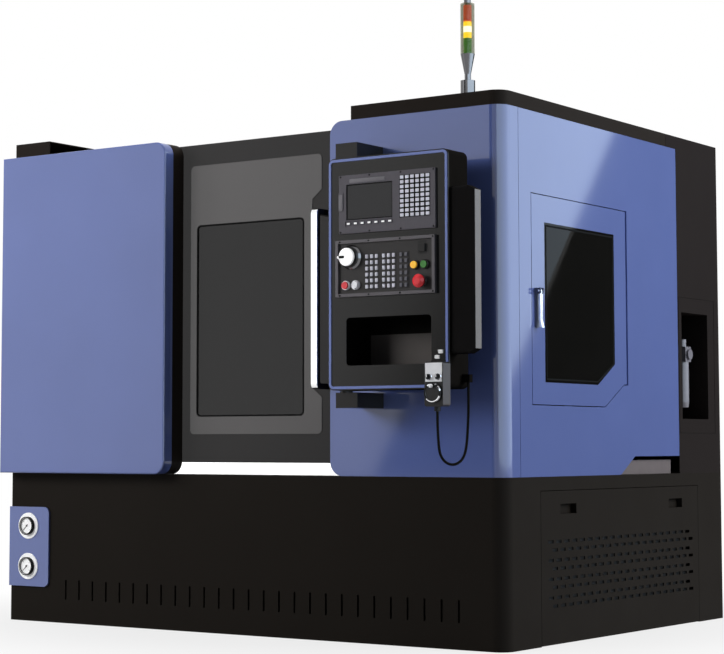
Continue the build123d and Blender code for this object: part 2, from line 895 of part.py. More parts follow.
# Blue front panel: a folded tray, lapped past the machine's left side
with BuildPart() as left_front_panel:
    panel_face_y = cover_front_y - front_panel_depth
    with BuildSketch(front_plane(cover_front_y)):
        rect(left_x - front_panel_lap, front_panel_right_x, base_height, front_panel_top_z)
    extrude(amount=front_panel_depth)
    fillet(left_front_panel.edges().filter_by(Axis.Y).group_by(Axis.X)[-1], front_panel_radius)
    fillet(left_front_panel.faces().sort_by(Axis.Y)[0].edges(), front_panel_edge)
    with BuildSketch(front_plane(cover_front_y)):
        soft_rect(left_x - front_panel_lap + sheet, front_panel_right_x - sheet,
                  base_height + sheet, front_panel_top_z - sheet, front_panel_radius - sheet)
    extrude(amount=front_panel_depth - front_panel_edge - sheet, mode=Mode.SUBTRACT)
write(left_front_panel, "left_front_panel")

# Stainless strips: grooved sill under the work door, plain strip under the side panel
tongue_y = (door_front_y + door_rear_y) / 2
groove_half = door_tongue_width / 2 + slide_gap
with BuildPart() as sill_strips:
    with BuildSketch(side_plane(end_cover_right_x)):
        outline((sill_front_y, base_height), (sill_rear_y, base_height),
                (sill_rear_y, sill_top_z), (tongue_y + groove_half, sill_top_z),
                (tongue_y + groove_half, sill_top_z - door_tongue_depth),
                (tongue_y - groove_half, sill_top_z - door_tongue_depth),
                (tongue_y - groove_half, sill_top_z), (sill_front_y, sill_top_z))
    extrude(amount=sill_right_x - end_cover_right_x)
    block(side_inner_x - side_sill_thickness, side_inner_x, side_sill_front_y, side_sill_rear_y,
          base_height, base_height + side_sill_height)
write(sill_strips, "sill_strips")

# Blue right column, folded round the rounded front corner
with BuildPart() as right_column:
    with BuildSketch(Plane.XY.offset(base_height)):
        with BuildLine():
            Polyline((right_x - corner_radius, front_y), (column_left_x, front_y),
                     (column_left_x, front_y + column_depth), (side_inner_x, front_y + column_depth),
                     (side_inner_x, corner_seam_y), (right_x, corner_seam_y),
                     (right_x, front_y + corner_radius))
            TangentArc((right_x, front_y + corner_radius), (right_x - corner_radius, front_y),
                       tangent=(0, -1))
        make_face()
    extrude(amount=column_top_z - base_height)
    fillet(right_column.edges().filter_by(Axis.Y).group_by(Axis.X)[0], column_radius)
write(right_column, "right_column")


# Ledge at the rear foot of the side door, where its lower pin stands
cut_rise_share = side_door_cut_z / side_door_cut_y
side_ledge_z = side_door_low_z + cut_rise_share * (side_door_cut_y - side_door_ledge)


def side_door_outline(grow):
    """Side door's outline with its cut lower rear corner, grown all round."""
    outline((side_door_front_y - grow, side_door_low_z - grow),
            (side_door_rear_y - side_door_cut_y, side_door_low_z - grow),
            (side_door_rear_y - side_door_ledge, side_ledge_z - grow),
            (side_door_rear_y + grow, side_ledge_z - grow),
            (side_door_rear_y + grow, side_door_high_z + grow),
            (side_door_front_y - grow, side_door_high_z + grow))


def pane_outline(grow):
    """Outline of the side door's window, grown all round."""
    outline((pane_front_y - grow, pane_low_z - grow),
            (pane_rear_y - pane_cut_y, pane_low_z - grow),
            (pane_rear_y + grow, pane_low_z + pane_cut_z),
            (pane_rear_y + grow, pane_high_z + grow),
            (pane_front_y - grow, pane_high_z + grow))


# Blue side panel with the side door's opening and the notch at its foot
side_pivot_x = right_x - side_door_thickness / 2
side_pivot_y = side_door_rear_y - side_door_thickness / 2
with BuildPart() as side_panel:
    with BuildSketch(side_plane(side_inner_x)):
        outline((corner_seam_y + seam_gap, base_height), (side_notch_front_y, base_height),
                (side_notch_rear_y, side_notch_top_z), (side_rear_y - seam_gap, side_notch_top_z),
                (side_rear_y - seam_gap, column_top_z), (corner_seam_y + seam_gap, column_top_z))
    extrude(amount=side_thickness)
    with BuildSketch(side_plane(side_inner_x - overrun)):
        side_door_outline(side_door_gap)
    extrude(amount=side_thickness + 2 * overrun, mode=Mode.SUBTRACT)
    for pin_low_z in (side_ledge_z - side_pin_length, side_door_high_z):
        with BuildSketch(Plane.XY.offset(pin_low_z)):
            with Locations((side_pivot_x, side_pivot_y)):
                Circle(side_pin_radius + running_gap)
        extrude(amount=side_pin_length + overrun, mode=Mode.SUBTRACT)
write(side_panel, "side_panel")

# Black cap over the right end: a hollow lid with the round front corner
with BuildPart() as top_cap:
    with BuildSketch(Plane.XY.offset(column_top_z)):
        corner_plan(cap_left_x, right_x, front_y, cap_rear_y, corner_radius)
    extrude(amount=machine_height - column_top_z)
    with BuildSketch(Plane.XY.offset(column_top_z)):
        corner_plan(cap_left_x + cap_sheet, right_x - cap_sheet, front_y + cap_sheet, cap_rear_y - cap_sheet,
                    corner_radius - cap_sheet)
    extrude(amount=machine_height - column_top_z - cap_sheet, mode=Mode.SUBTRACT)
write(top_cap, "top_cap")

# Roof sheet over the chamber
with BuildPart() as roof_panel:
    block(end_cover_right_x, side_inner_x, liner_front_y, cabinet_front_y, roof_bottom_z, roof_top_z)
write(roof_panel, "roof_panel")

# Rear electrical cabinet: shell open to the inside, niche for the air unit, two back doors
back_door_width = (base_width - 3 * back_door_inset) / 2
with BuildPart() as rear_cabinet:
    block(left_x, right_x, cabinet_front_y, rear_y, base_height, machine_height)
    block(left_x + sheet, right_x - sheet, cabinet_front_y - overrun, rear_y - sheet,
          base_height + sheet, machine_height - sheet, mode=Mode.SUBTRACT)
    block(cap_left_x, right_x, cap_rear_y + seam_gap, cabinet_front_y, column_top_z, machine_height)
    block(right_x - niche_depth - sheet, right_x, niche_front_y - sheet, niche_rear_y + sheet,
          niche_low_z - sheet, niche_high_z + sheet)
    block(right_x - niche_depth, right_x + overrun, niche_front_y, niche_rear_y,
          niche_low_z, niche_high_z, mode=Mode.SUBTRACT)
    with BuildSketch(side_plane(right_x - groove_depth)):
        rect(niche_frame_front_y, niche_frame_rear_y, niche_frame_low_z, niche_frame_high_z)
        rect(niche_frame_front_y + groove_width, niche_frame_rear_y - groove_width,
             niche_frame_low_z + groove_width, niche_frame_high_z - groove_width, mode=Mode.SUBTRACT)
    extrude(amount=groove_depth + overrun, mode=Mode.SUBTRACT)
    with BuildSketch(front_plane(rear_y)):
        for door_start_x in (left_x + back_door_inset, left_x + 2 * back_door_inset + back_door_width):
            soft_rect(door_start_x, door_start_x + back_door_width, base_height + back_door_inset,
                      machine_height - back_door_inset, back_door_radius)
    extrude(amount=-back_door_proud)
write(rear_cabinet, "rear_cabinet")

# Air filter and regulator on a bracket in the niche
filter_x = right_x - niche_depth + filter_standoff + filter_head / 2
with BuildPart() as air_filter:
    block(filter_x - filter_head / 2, filter_x + filter_head / 2, filter_y - filter_head / 2,
          filter_y + filter_head / 2, filter_head_low_z, filter_head_high_z)
    block(right_x - niche_depth, filter_x - filter_head / 2, filter_y - filter_head / 4,
          filter_y + filter_head / 4, filter_head_low_z, filter_head_high_z)
    turned(standing(filter_x, filter_y, 0), [
        (filter_bowl_low_z, 0),
        (filter_bowl_low_z, filter_foot_radius),
        (filter_bowl_low_z + filter_foot_radius, filter_bowl_radius),
        (filter_head_low_z, filter_bowl_radius),
        (filter_head_low_z, 0),
    ])
    with BuildSketch(Plane.XY.offset(filter_head_high_z)):
        with Locations((filter_x, filter_y)):
            Circle(filter_stem_radius)
    extrude(amount=filter_stem_top_z - filter_head_high_z)
    with BuildSketch(side_plane(filter_x + filter_head / 2)):
        with Locations((filter_y, (filter_head_low_z + filter_head_high_z) / 2)):
            Circle(filter_gauge_radius)
    extrude(amount=filter_gauge_depth)
write(air_filter, "air_filter")

# Chamber liner: wall round the spindle nose, walls behind the door pocket and the bed, sloping chute
liner_back_y = slope_point(bed_high_u, 0)[0]
bed_top_z = slope_point(bed_high_u, 0)[1]
with BuildPart() as chamber_liner:
    with BuildSketch(side_plane(chamber_left_x)):
        outline((liner_front_y, base_height), (bed_front_y - liner_gap, base_height),
                (bed_front_y - liner_gap, slope_point(bed_low_u, liner_gap)[1]),
                slope_point(bed_high_u, liner_gap), (liner_back_y, roof_bottom_z),
                (liner_front_y, roof_bottom_z))
        with Locations((axis_y, axis_z)):
            Circle(bulkhead_hole_radius, mode=Mode.SUBTRACT)
    extrude(amount=sheet)
    block(chamber_left_x, side_inner_x, liner_back_y - sheet, liner_back_y,
          bed_top_z + liner_gap, roof_bottom_z)
    block(end_cover_right_x, chamber_left_x + sheet, liner_front_y, liner_front_y + sheet,
          base_height, roof_bottom_z)
    with BuildSketch(side_plane(chamber_left_x)):
        chute_end_y = bed_front_y - chip_outlet_width
        outline((liner_front_y, chute_front_z - sheet), (chute_end_y, chute_rear_z - sheet),
                (chute_end_y, chute_rear_z), (liner_front_y, chute_front_z))
    extrude(amount=side_inner_x - chamber_left_x)
write(chamber_liner, "chamber_liner")

# Slant bed casting, hollow along its length, with two box ways
with BuildPart() as slant_bed:
    with BuildSketch(side_plane(bed_left_x)):
        outline((bed_front_y, base_height), slope_point(bed_low_u, 0), slope_point(bed_high_u, 0),
                (liner_back_y, base_height))
        offset(amount=-bed_wall, mode=Mode.SUBTRACT)
    extrude(amount=bed_right_x - bed_left_x)
    with BuildSketch(slope_section(rail_left_x)):
        for rail_u in rail_us:
            rect(rail_u - rail_width / 2, rail_u + rail_width / 2, 0, rail_height)
    extrude(amount=bed_right_x - rail_left_x)
write(slant_bed, "slant_bed")

# Headstock casting: round over the spindle, spread to a foot on the slope
headstock_left_x = headstock_right_x - headstock_length
with BuildPart() as headstock:
    with BuildSketch(slope_section(headstock_left_x)):
        with Locations((0, axis_w)):
            Circle(headstock_radius)
        rect(-headstock_foot_half, headstock_foot_half, 0, headstock_foot_height)
        make_hull()
        with Locations((0, axis_w)):
            Circle(spindle_radius + running_gap, mode=Mode.SUBTRACT)
    extrude(amount=headstock_length)
write(headstock, "headstock")

# Hollow spindle with its nose flange
spindle_left_x = headstock_left_x - spindle_tail
nose_left_x = headstock_right_x + slide_gap
chuck_left_x = nose_left_x + nose_length
with BuildPart() as spindle:
    turned(along_spindle(0), [
        (spindle_left_x, spindle_bore_radius),
        (chuck_left_x, spindle_bore_radius),
        (chuck_left_x, nose_radius),
        (nose_left_x, nose_radius),
        (nose_left_x, spindle_radius),
        (spindle_left_x, spindle_radius),
    ])
write(spindle, "spindle")

# Chuck body with three open jaw slots
chuck_right_x = chuck_left_x + chuck_length
jaw_angles = [90.0 + index * 360.0 / jaw_count for index in range(jaw_count)]


def jaw_plane(angle):
    """Plane on the chuck's face whose first direction points outwards along one jaw."""
    radial = (0, math.cos(math.radians(angle)), math.sin(math.radians(angle)))
    return Plane(origin=(chuck_right_x, axis_y, axis_z), x_dir=radial, z_dir=(1, 0, 0))


with BuildPart() as chuck_body:
    turned(along_spindle(0), [
        (chuck_left_x, spindle_bore_radius),
        (chuck_right_x, spindle_bore_radius),
        (chuck_right_x, chuck_radius - overrun),
        (chuck_right_x - overrun, chuck_radius),
        (chuck_left_x, chuck_radius),
    ])
    for jaw_angle in jaw_angles:
        with BuildSketch(jaw_plane(jaw_angle)):
            half_slot = jaw_width / 2 + slide_gap
            rect(0, chuck_radius + overrun, -half_slot, half_slot)
        extrude(amount=-jaw_slot_depth, mode=Mode.SUBTRACT)
write(chuck_body, "chuck_body")

# Three stepped jaws
for jaw_number, jaw_angle in enumerate(jaw_angles, start=1):
    with BuildPart() as jaw:
        with BuildSketch(jaw_plane(jaw_angle).offset(slide_gap - jaw_slot_depth)):
            rect(jaw_inner_radius, jaw_outer_radius, -jaw_width / 2, jaw_width / 2)
        extrude(amount=jaw_slot_depth - slide_gap + jaw_low_step)
        with BuildSketch(jaw_plane(jaw_angle).offset(jaw_low_step)):
            rect(jaw_inner_radius, jaw_step_radius, -jaw_width / 2, jaw_width / 2)
        extrude(amount=jaw_high_step - jaw_low_step)
    write(jaw, f"chuck_jaw_{jaw_number}")

# Saddle: bridges the two box ways and carries two cross guides
saddle_low_u = rail_us[0] - rail_width / 2 - slide_gap - saddle_lip
saddle_high_u = rail_us[1] + rail_width / 2 + slide_gap + saddle_lip
saddle_low_w = rail_height + slide_gap
saddle_high_w = saddle_low_w + saddle_thickness
saddle_right_x = saddle_left_x + saddle_length
with BuildPart() as saddle:
    with BuildSketch(slope_section(saddle_left_x)):
        outline((saddle_low_u, slide_gap), (saddle_low_u + saddle_lip, slide_gap),
                (saddle_low_u + saddle_lip, saddle_low_w), (saddle_high_u - saddle_lip, saddle_low_w),
                (saddle_high_u - saddle_lip, slide_gap), (saddle_high_u, slide_gap),
                (saddle_high_u, saddle_high_w), (saddle_low_u, saddle_high_w))
    extrude(amount=saddle_length)
    for guide_start_x in (saddle_left_x, saddle_right_x - guide_width):
        with BuildSketch(slope_section(guide_start_x)):
            rect(saddle_low_u, saddle_high_u, saddle_high_w, saddle_high_w + guide_height)
        extrude(amount=guide_width)
write(saddle, "saddle")

# Cross slide with the turret housing
slide_low_w = saddle_high_w + guide_height + slide_gap
slide_high_w = slide_low_w + slide_thickness
slide_low_u = turret_u - housing_radius - slide_overhang
slide_high_u = turret_u + housing_radius + slide_overhang
with BuildPart() as cross_slide:
    with BuildSketch(slope_section(saddle_left_x)):
        rect(slide_low_u, slide_high_u, slide_low_w, slide_high_w)
    extrude(amount=saddle_length)
    with BuildSketch(slope_section(saddle_left_x)):
        with Locations((turret_u, axis_w)):
            Circle(housing_radius)
        rect(turret_u - housing_radius, turret_u + housing_radius, slide_high_w, axis_w)
        with Locations((turret_u, axis_w)):
            Circle(turret_shaft_radius + running_gap, mode=Mode.SUBTRACT)
    extrude(amount=saddle_length)
    tongue_half = saddle_length / 2 - guide_width - slide_gap
    tongue_mid_x = (saddle_left_x + saddle_right_x) / 2
    with BuildSketch(slope_section(tongue_mid_x - tongue_half)):
        rect(slide_low_u, slide_high_u, saddle_high_w + slide_gap, slide_low_w)
    extrude(amount=2 * tongue_half)
write(cross_slide, "cross_slide")

# Eight-sided turret disc on its shaft
turret_right_x = saddle_left_x - turret_gap
turret_left_x = turret_right_x - turret_thickness
turret_flat_angle = 180.0 / turret_sides
turret_apothem = turret_radius * math.cos(math.radians(turret_flat_angle))
with BuildPart() as turret_disc:
    with BuildSketch(slope_section(turret_left_x)):
        with Locations((turret_u, axis_w)):
            RegularPolygon(turret_radius, turret_sides, rotation=turret_flat_angle)
    extrude(amount=turret_thickness)
    with BuildSketch(slope_section(turret_right_x)):
        with Locations((turret_u, axis_w)):
            Circle(turret_shaft_radius)
    extrude(amount=turret_shaft_length)
write(turret_disc, "turret_disc")

# A tool holder with its bit on each flat of the turret
with BuildPart() as tool_holders:
    holder_start_x = (turret_left_x + turret_right_x - holder_length) / 2
    with BuildSketch(slope_section(holder_start_x)):
        with Locations((turret_u, axis_w)):
            with PolarLocations(turret_apothem + (holder_height - bit_height) / 2, turret_sides):
                Rectangle(holder_height - bit_height, holder_width)
    extrude(amount=holder_length)
    with BuildSketch(slope_section(holder_start_x)):
        with Locations((turret_u, axis_w)):
            with PolarLocations(turret_apothem + holder_height - bit_height / 2, turret_sides):
                Rectangle(bit_height, holder_width / 2)
    extrude(amount=holder_length / 2)
write(tool_holders, "tool_holders")

# Work door: folded leaf, open at the back, with the guide tongue in the sill's groove
with BuildPart() as main_door:
    block(door_left_x, door_right_x, door_front_y, door_rear_y, door_low_z, roof_top_z)
    block(door_left_x + door_rim, window_left_x - door_rim, door_front_y + door_skin, door_rear_y + overrun,
          door_low_z + door_rim, roof_top_z - door_rim, mode=Mode.SUBTRACT)
    block(window_right_x + door_rim, door_right_x - door_rim,
          door_front_y + door_skin, door_rear_y + overrun,
          door_low_z + door_rim, roof_top_z - door_rim, mode=Mode.SUBTRACT)
    with BuildSketch(front_plane(door_front_y - overrun)):
        soft_rect(window_left_x, window_right_x, window_low_z, window_high_z, window_radius)
    extrude(amount=-(door_depth + 2 * overrun), mode=Mode.SUBTRACT)
    with BuildSketch(front_plane(door_front_y)):
        soft_rect(window_left_x - window_lip, window_right_x + window_lip, window_low_z - window_lip,
                  window_high_z + window_lip, window_radius + window_lip)
    extrude(amount=-window_glass, mode=Mode.SUBTRACT)
    tongue_low_z = sill_top_z - door_tongue_depth + slide_gap
    block(door_left_x, door_right_x, tongue_y - door_tongue_width / 2, tongue_y + door_tongue_width / 2,
          tongue_low_z, door_low_z)
write(main_door, "main_door")

# Window pane, let into the leaf behind the grey plate
with BuildPart() as door_window:
    with BuildSketch(front_plane(door_front_y + window_glass)):
        soft_rect(window_left_x - window_lip, window_right_x + window_lip, window_low_z - window_lip,
                  window_high_z + window_lip, window_radius + window_lip)
    extrude(amount=window_glass)
write(door_window, "door_window")

# Grey plate round the window, stepped back beside the handle
with BuildPart() as door_plate:
    notch_x = door_plate_right_x - plate_notch_depth
    with BuildSketch(front_plane(door_front_y)):
        outline((door_plate_left_x, door_plate_low_z), (door_plate_right_x, door_plate_low_z),
                (door_plate_right_x, plate_notch_low_z), (notch_x, plate_notch_low_z + plate_notch_slant),
                (notch_x, plate_notch_high_z - plate_notch_slant), (door_plate_right_x, plate_notch_high_z),
                (door_plate_right_x, door_plate_high_z), (door_plate_left_x, door_plate_high_z))
        soft_rect(window_left_x, window_right_x, window_low_z, window_high_z, window_radius,
                  mode=Mode.SUBTRACT)
    extrude(amount=door_plate_thickness)
    corners = door_plate.edges().filter_by(Axis.Y)
    fillet(corners.group_by(Axis.Z)[0] + corners.group_by(Axis.Z)[-1], door_plate_radius)
write(door_plate, "door_plate")

# Door handle: square bar on two bent feet
with BuildPart() as door_handle:
    handle_mid_y = door_front_y - handle_reach
    with BuildSketch(side_plane(handle_left_x)):
        outline((door_front_y, handle_low_z), (handle_mid_y, handle_low_z),
                (handle_mid_y, handle_high_z), (door_front_y, handle_high_z),
                (door_front_y, handle_high_z - handle_foot_height),
                (handle_mid_y + handle_bar_depth, handle_high_z - handle_foot_height),
                (handle_mid_y + handle_bar_depth, handle_low_z + handle_foot_height),
                (door_front_y, handle_low_z + handle_foot_height))
    extrude(amount=handle_width)
    bends = door_handle.edges().filter_by(Axis.X)
    fillet(bends.group_by(Axis.Y)[0], handle_radius * 2)
    fillet(bends.group_by(Axis.Y)[1], handle_radius)
write(door_handle, "door_handle")

# Side door leaf: pivots on pins in its round rear edge
with BuildPart() as side_door:
    with BuildSketch(side_plane(right_x - side_door_thickness)):
        side_door_outline(0)
    extrude(amount=side_door_thickness)
    fillet(side_door.edges().filter_by(Axis.Z).group_by(Axis.Y)[-1], side_door_thickness / 2 - seam_gap)
    with BuildSketch(side_plane(right_x - side_door_thickness - overrun)):
        pane_outline(0)
    extrude(amount=side_door_thickness + 2 * overrun, mode=Mode.SUBTRACT)
    with BuildSketch(side_plane(right_x - pane_glass)):
        pane_outline(pane_lip)
    extrude(amount=pane_glass + overrun, mode=Mode.SUBTRACT)
    for pin_low_z, pin_high_z in (
        (side_ledge_z - side_pin_length + overrun, side_ledge_z + side_pin_length),
        (side_door_high_z - side_pin_length, side_door_high_z + side_pin_length),
    ):
        with BuildSketch(Plane.XY.offset(pin_low_z)):
            with Locations((side_pivot_x, side_pivot_y)):
                Circle(side_pin_radius)
        extrude(amount=pin_high_z - pin_low_z)
write(side_door, "side_door")

# Pane of the side door
with BuildPart() as side_window:
    with BuildSketch(side_plane(right_x - pane_glass)):
        pane_outline(pane_lip)
    extrude(amount=pane_glass)
write(side_window, "side_window")

# Lever base on the side door, with two ears for the lever's pin
lever_pin_z = lever_high_z - lever_ear_height / 2
ear_half = lever_bar_width / 2 + slide_gap
with BuildPart() as lever_base:
    with BuildSketch(side_plane(right_x)):
        soft_rect(lever_y - lever_width / 2, lever_y + lever_width / 2, lever_low_z, lever_high_z,
                  lever_width / 3)
    extrude(amount=lever_base_depth)
    for ear_side in (-1, 1):
        ear_y0 = lever_y + ear_side * ear_half
        ear_y1 = ear_y0 + ear_side * lever_ear_width
        block(right_x, right_x + lever_ear_depth, min(ear_y0, ear_y1), max(ear_y0, ear_y1),
              lever_high_z - lever_ear_height, lever_high_z)
    with BuildSketch(front_plane(lever_y)):
        with Locations((right_x + lever_pin_out, lever_pin_z)):
            Circle(lever_pin_radius + running_gap)
    extrude(amount=lever_width, both=True, mode=Mode.SUBTRACT)
write(lever_base, "lever_base")

# Chrome lever on its pin, with a lifted tip for the fingers
with BuildPart() as door_lever:
    bar_in = right_x + lever_pin_out - lever_bar_depth / 2
    bar_out = right_x + lever_pin_out + lever_bar_depth / 2
    with BuildSketch(front_plane(lever_y)):
        outline((bar_in, lever_pin_z + lever_bar_depth / 2), (bar_in, lever_low_z + lever_width),
                (bar_in + lever_tip_lift, lever_low_z), (bar_out + lever_tip_lift, lever_low_z),
                (bar_out, lever_low_z + lever_width), (bar_out, lever_pin_z + lever_bar_depth / 2))
    extrude(amount=lever_bar_width / 2, both=True)
    with BuildSketch(front_plane(lever_y)):
        with Locations((right_x + lever_pin_out, lever_pin_z)):
            Circle(lever_pin_radius)
    extrude(amount=ear_half + lever_ear_width, both=True)
write(door_lever, "door_lever")

# Coolant tank on two skids
tank_right_x = right_x - tank_panel_depth
tank_low_z = base_floor + slide_gap + tank_skid_height
tank_front_y = bay_front_y + tank_side_gap
tank_rear_y = bay_rear_y - tank_side_gap
with BuildPart() as coolant_tank:
    block(tank_left_x, tank_right_x, tank_front_y, tank_rear_y, tank_low_z, tank_top_z)
    block(tank_left_x + sheet, tank_right_x - sheet, tank_front_y + sheet, tank_rear_y - sheet,
          tank_low_z + sheet, tank_top_z + overrun, mode=Mode.SUBTRACT)
    for skid_y in (tank_front_y + tank_skid_inset, tank_rear_y - tank_skid_inset - tank_skid_width):
        block(tank_left_x, tank_right_x, skid_y, skid_y + tank_skid_width,
              base_floor + slide_gap, tank_low_z)
write(coolant_tank, "coolant_tank")

# Coolant pump on a plate over the tank's inner rear corner
pump_x = tank_left_x + pump_plate / 2
pump_y = tank_rear_y - pump_plate / 2
with BuildPart() as coolant_pump:
    block(tank_left_x, tank_left_x + pump_plate, tank_rear_y - pump_plate, tank_rear_y,
          tank_top_z, tank_top_z + pump_plate_thickness)
    turned(standing(pump_x, pump_y, 0), [
        (tank_low_z + pump_tube_clear, 0),
        (tank_low_z + pump_tube_clear, pump_tube_radius),
        (tank_top_z, pump_tube_radius),
        (tank_top_z, pump_radius),
        (pump_top_z, pump_radius),
        (pump_top_z, 0),
    ])
write(coolant_pump, "coolant_pump")

# Slotted panel on the tank's outer end: folded tray with vent slots, two cup pulls and ribs on the tank
with BuildPart() as tank_panel:
    tray_front_y = bay_front_y + seam_gap
    tray_rear_y = bay_rear_y - seam_gap
    tray_low_z = seam_gap
    tray_top_z = bay_top_z - seam_gap
    block(tank_right_x, right_x, tray_front_y, tray_rear_y, tray_low_z, tray_top_z)
    block(tank_right_x - overrun, right_x - tank_panel_sheet, tray_front_y + tank_panel_sheet,
          tray_rear_y - tank_panel_sheet, tray_low_z + tank_panel_sheet, tray_top_z - tank_panel_sheet,
          mode=Mode.SUBTRACT)
    for rib_y in (tank_front_y, tank_rear_y - tank_panel_rib):
        block(tank_right_x, right_x - tank_panel_sheet, rib_y, rib_y + tank_panel_rib,
              tray_low_z, tank_top_z)
    for pull_y in pull_ys:
        block(right_x - pull_depth - tank_panel_sheet, right_x, pull_y - pull_width / 2 - tank_panel_sheet,
              pull_y + pull_width / 2 + tank_panel_sheet, pull_z - pull_height / 2 - tank_panel_sheet,
              pull_z + pull_height / 2 + tank_panel_sheet)
        block(right_x - pull_depth, right_x + overrun, pull_y - pull_width / 2, pull_y + pull_width / 2,
              pull_z - pull_height / 2, pull_z + pull_height / 2, mode=Mode.SUBTRACT)
    slot_places = []
    for row in range(slot_rows):
        for column in range(slot_columns):
            slot_y = slot_first_y + column * slot_pitch
            slot_z = slot_first_z - row * slot_pair_pitch
            slot_places.append((slot_y, slot_z))
            slot_places.append((slot_y + slot_pitch / 2, slot_z - slot_pair_step))
    with BuildSketch(side_plane(right_x - tank_panel_sheet - overrun)):
        with Locations(*slot_places):
            Rectangle(slot_length, slot_height)
    extrude(amount=tank_panel_sheet + 2 * overrun, mode=Mode.SUBTRACT)
write(tank_panel, "tank_panel")

# Tower light: turned foot, neck and cup, rod and top knob
tower_neck_z = tower_base_height + tower_neck_height
tower_lens_z = tower_neck_z + tower_cup_height
tower_top_z = tower_lens_z + tower_lens_height
with BuildPart() as tower_body:
    turned(standing(tower_x, tower_y, machine_height), [
        (0, 0),
        (0, tower_base_radius),
        (tower_base_height, tower_base_radius),
        (tower_base_height, tower_neck_radius),
        (tower_neck_z, tower_neck_radius),
        (tower_lens_z, tower_cup_radius),
        (tower_lens_z, tower_rod_radius),
        (tower_top_z, tower_rod_radius),
        (tower_top_z, tower_knob_radius),
        (tower_top_z + tower_knob_height, tower_knob_radius),
        (tower_top_z + tower_knob_height, 0),
    ])
write(tower_body, "tower_body")

# Clear lens tube, closed round the rod at its top
with BuildPart() as tower_lens:
    turned(standing(tower_x, tower_y, machine_height), [
        (tower_lens_z, tower_cup_radius - tower_lens_wall),
        (tower_lens_z, tower_cup_radius),
        (tower_top_z, tower_cup_radius),
        (tower_top_z, tower_rod_radius),
        (tower_top_z - tower_lens_wall, tower_rod_radius),
        (tower_top_z - tower_lens_wall, tower_cup_radius - tower_lens_wall),
    ])
write(tower_lens, "tower_lens")

# Three lamp drums on the rod
lamp_pitch = (tower_lens_height - tower_lens_wall) / tower_lamp_count
with BuildPart() as tower_lamps:
    for lamp in range(tower_lamp_count):
        lamp_z = machine_height + tower_lens_z + lamp * lamp_pitch
        with BuildSketch(Plane.XY.offset(lamp_z)):
            with Locations((tower_x, tower_y)):
                Circle(tower_lamp_radius)
                Circle(tower_rod_radius, mode=Mode.SUBTRACT)
        extrude(amount=lamp_pitch - tower_lamp_gap)
write(tower_lamps, "tower_lamps")

# Pendant brackets on the column, with the pivot pins
upper_bracket_z = pendant_high_z + bracket_boss + slide_gap
lower_bracket_z = pendant_low_z - bracket_boss - slide_gap - bracket_height
with BuildPart() as pendant_brackets:
    for bracket_z in (lower_bracket_z, upper_bracket_z):
        block(bracket_left_x, bracket_left_x + bracket_width, bracket_front_y, front_y,
              bracket_z, bracket_z + bracket_height)
    turned(standing(pivot_x, pivot_y, 0), [
        (lower_bracket_z, 0),
        (lower_bracket_z, bracket_boss_radius),
        (pendant_low_z - slide_gap, bracket_boss_radius),
        (pendant_low_z - slide_gap, pivot_pin_radius),
        (pendant_low_z + pivot_pin_length, pivot_pin_radius),
        (pendant_low_z + pivot_pin_length, 0),
    ])
    turned(standing(pivot_x, pivot_y, 0), [
        (upper_bracket_z + bracket_height, 0),
        (upper_bracket_z + bracket_height, bracket_boss_radius),
        (pendant_high_z + slide_gap, bracket_boss_radius),
        (pendant_high_z + slide_gap, pivot_pin_radius),
        (pendant_high_z - pivot_pin_length, pivot_pin_radius),
        (pendant_high_z - pivot_pin_length, 0),
    ])
write(pendant_brackets, "pendant_brackets")

# Ends of the hand unit's cord: strain relief under the unit, elbow on the pendant's side
relief_x = hand_centre_x
relief_y = (hand_front_y + hand_rear_y) / 2
relief_z = hand_low_z - relief_length
elbow_x = pendant_right_x + elbow_out
elbow_y = pendant_front_y + elbow_setback
elbow_z = pendant_low_z + elbow_rise

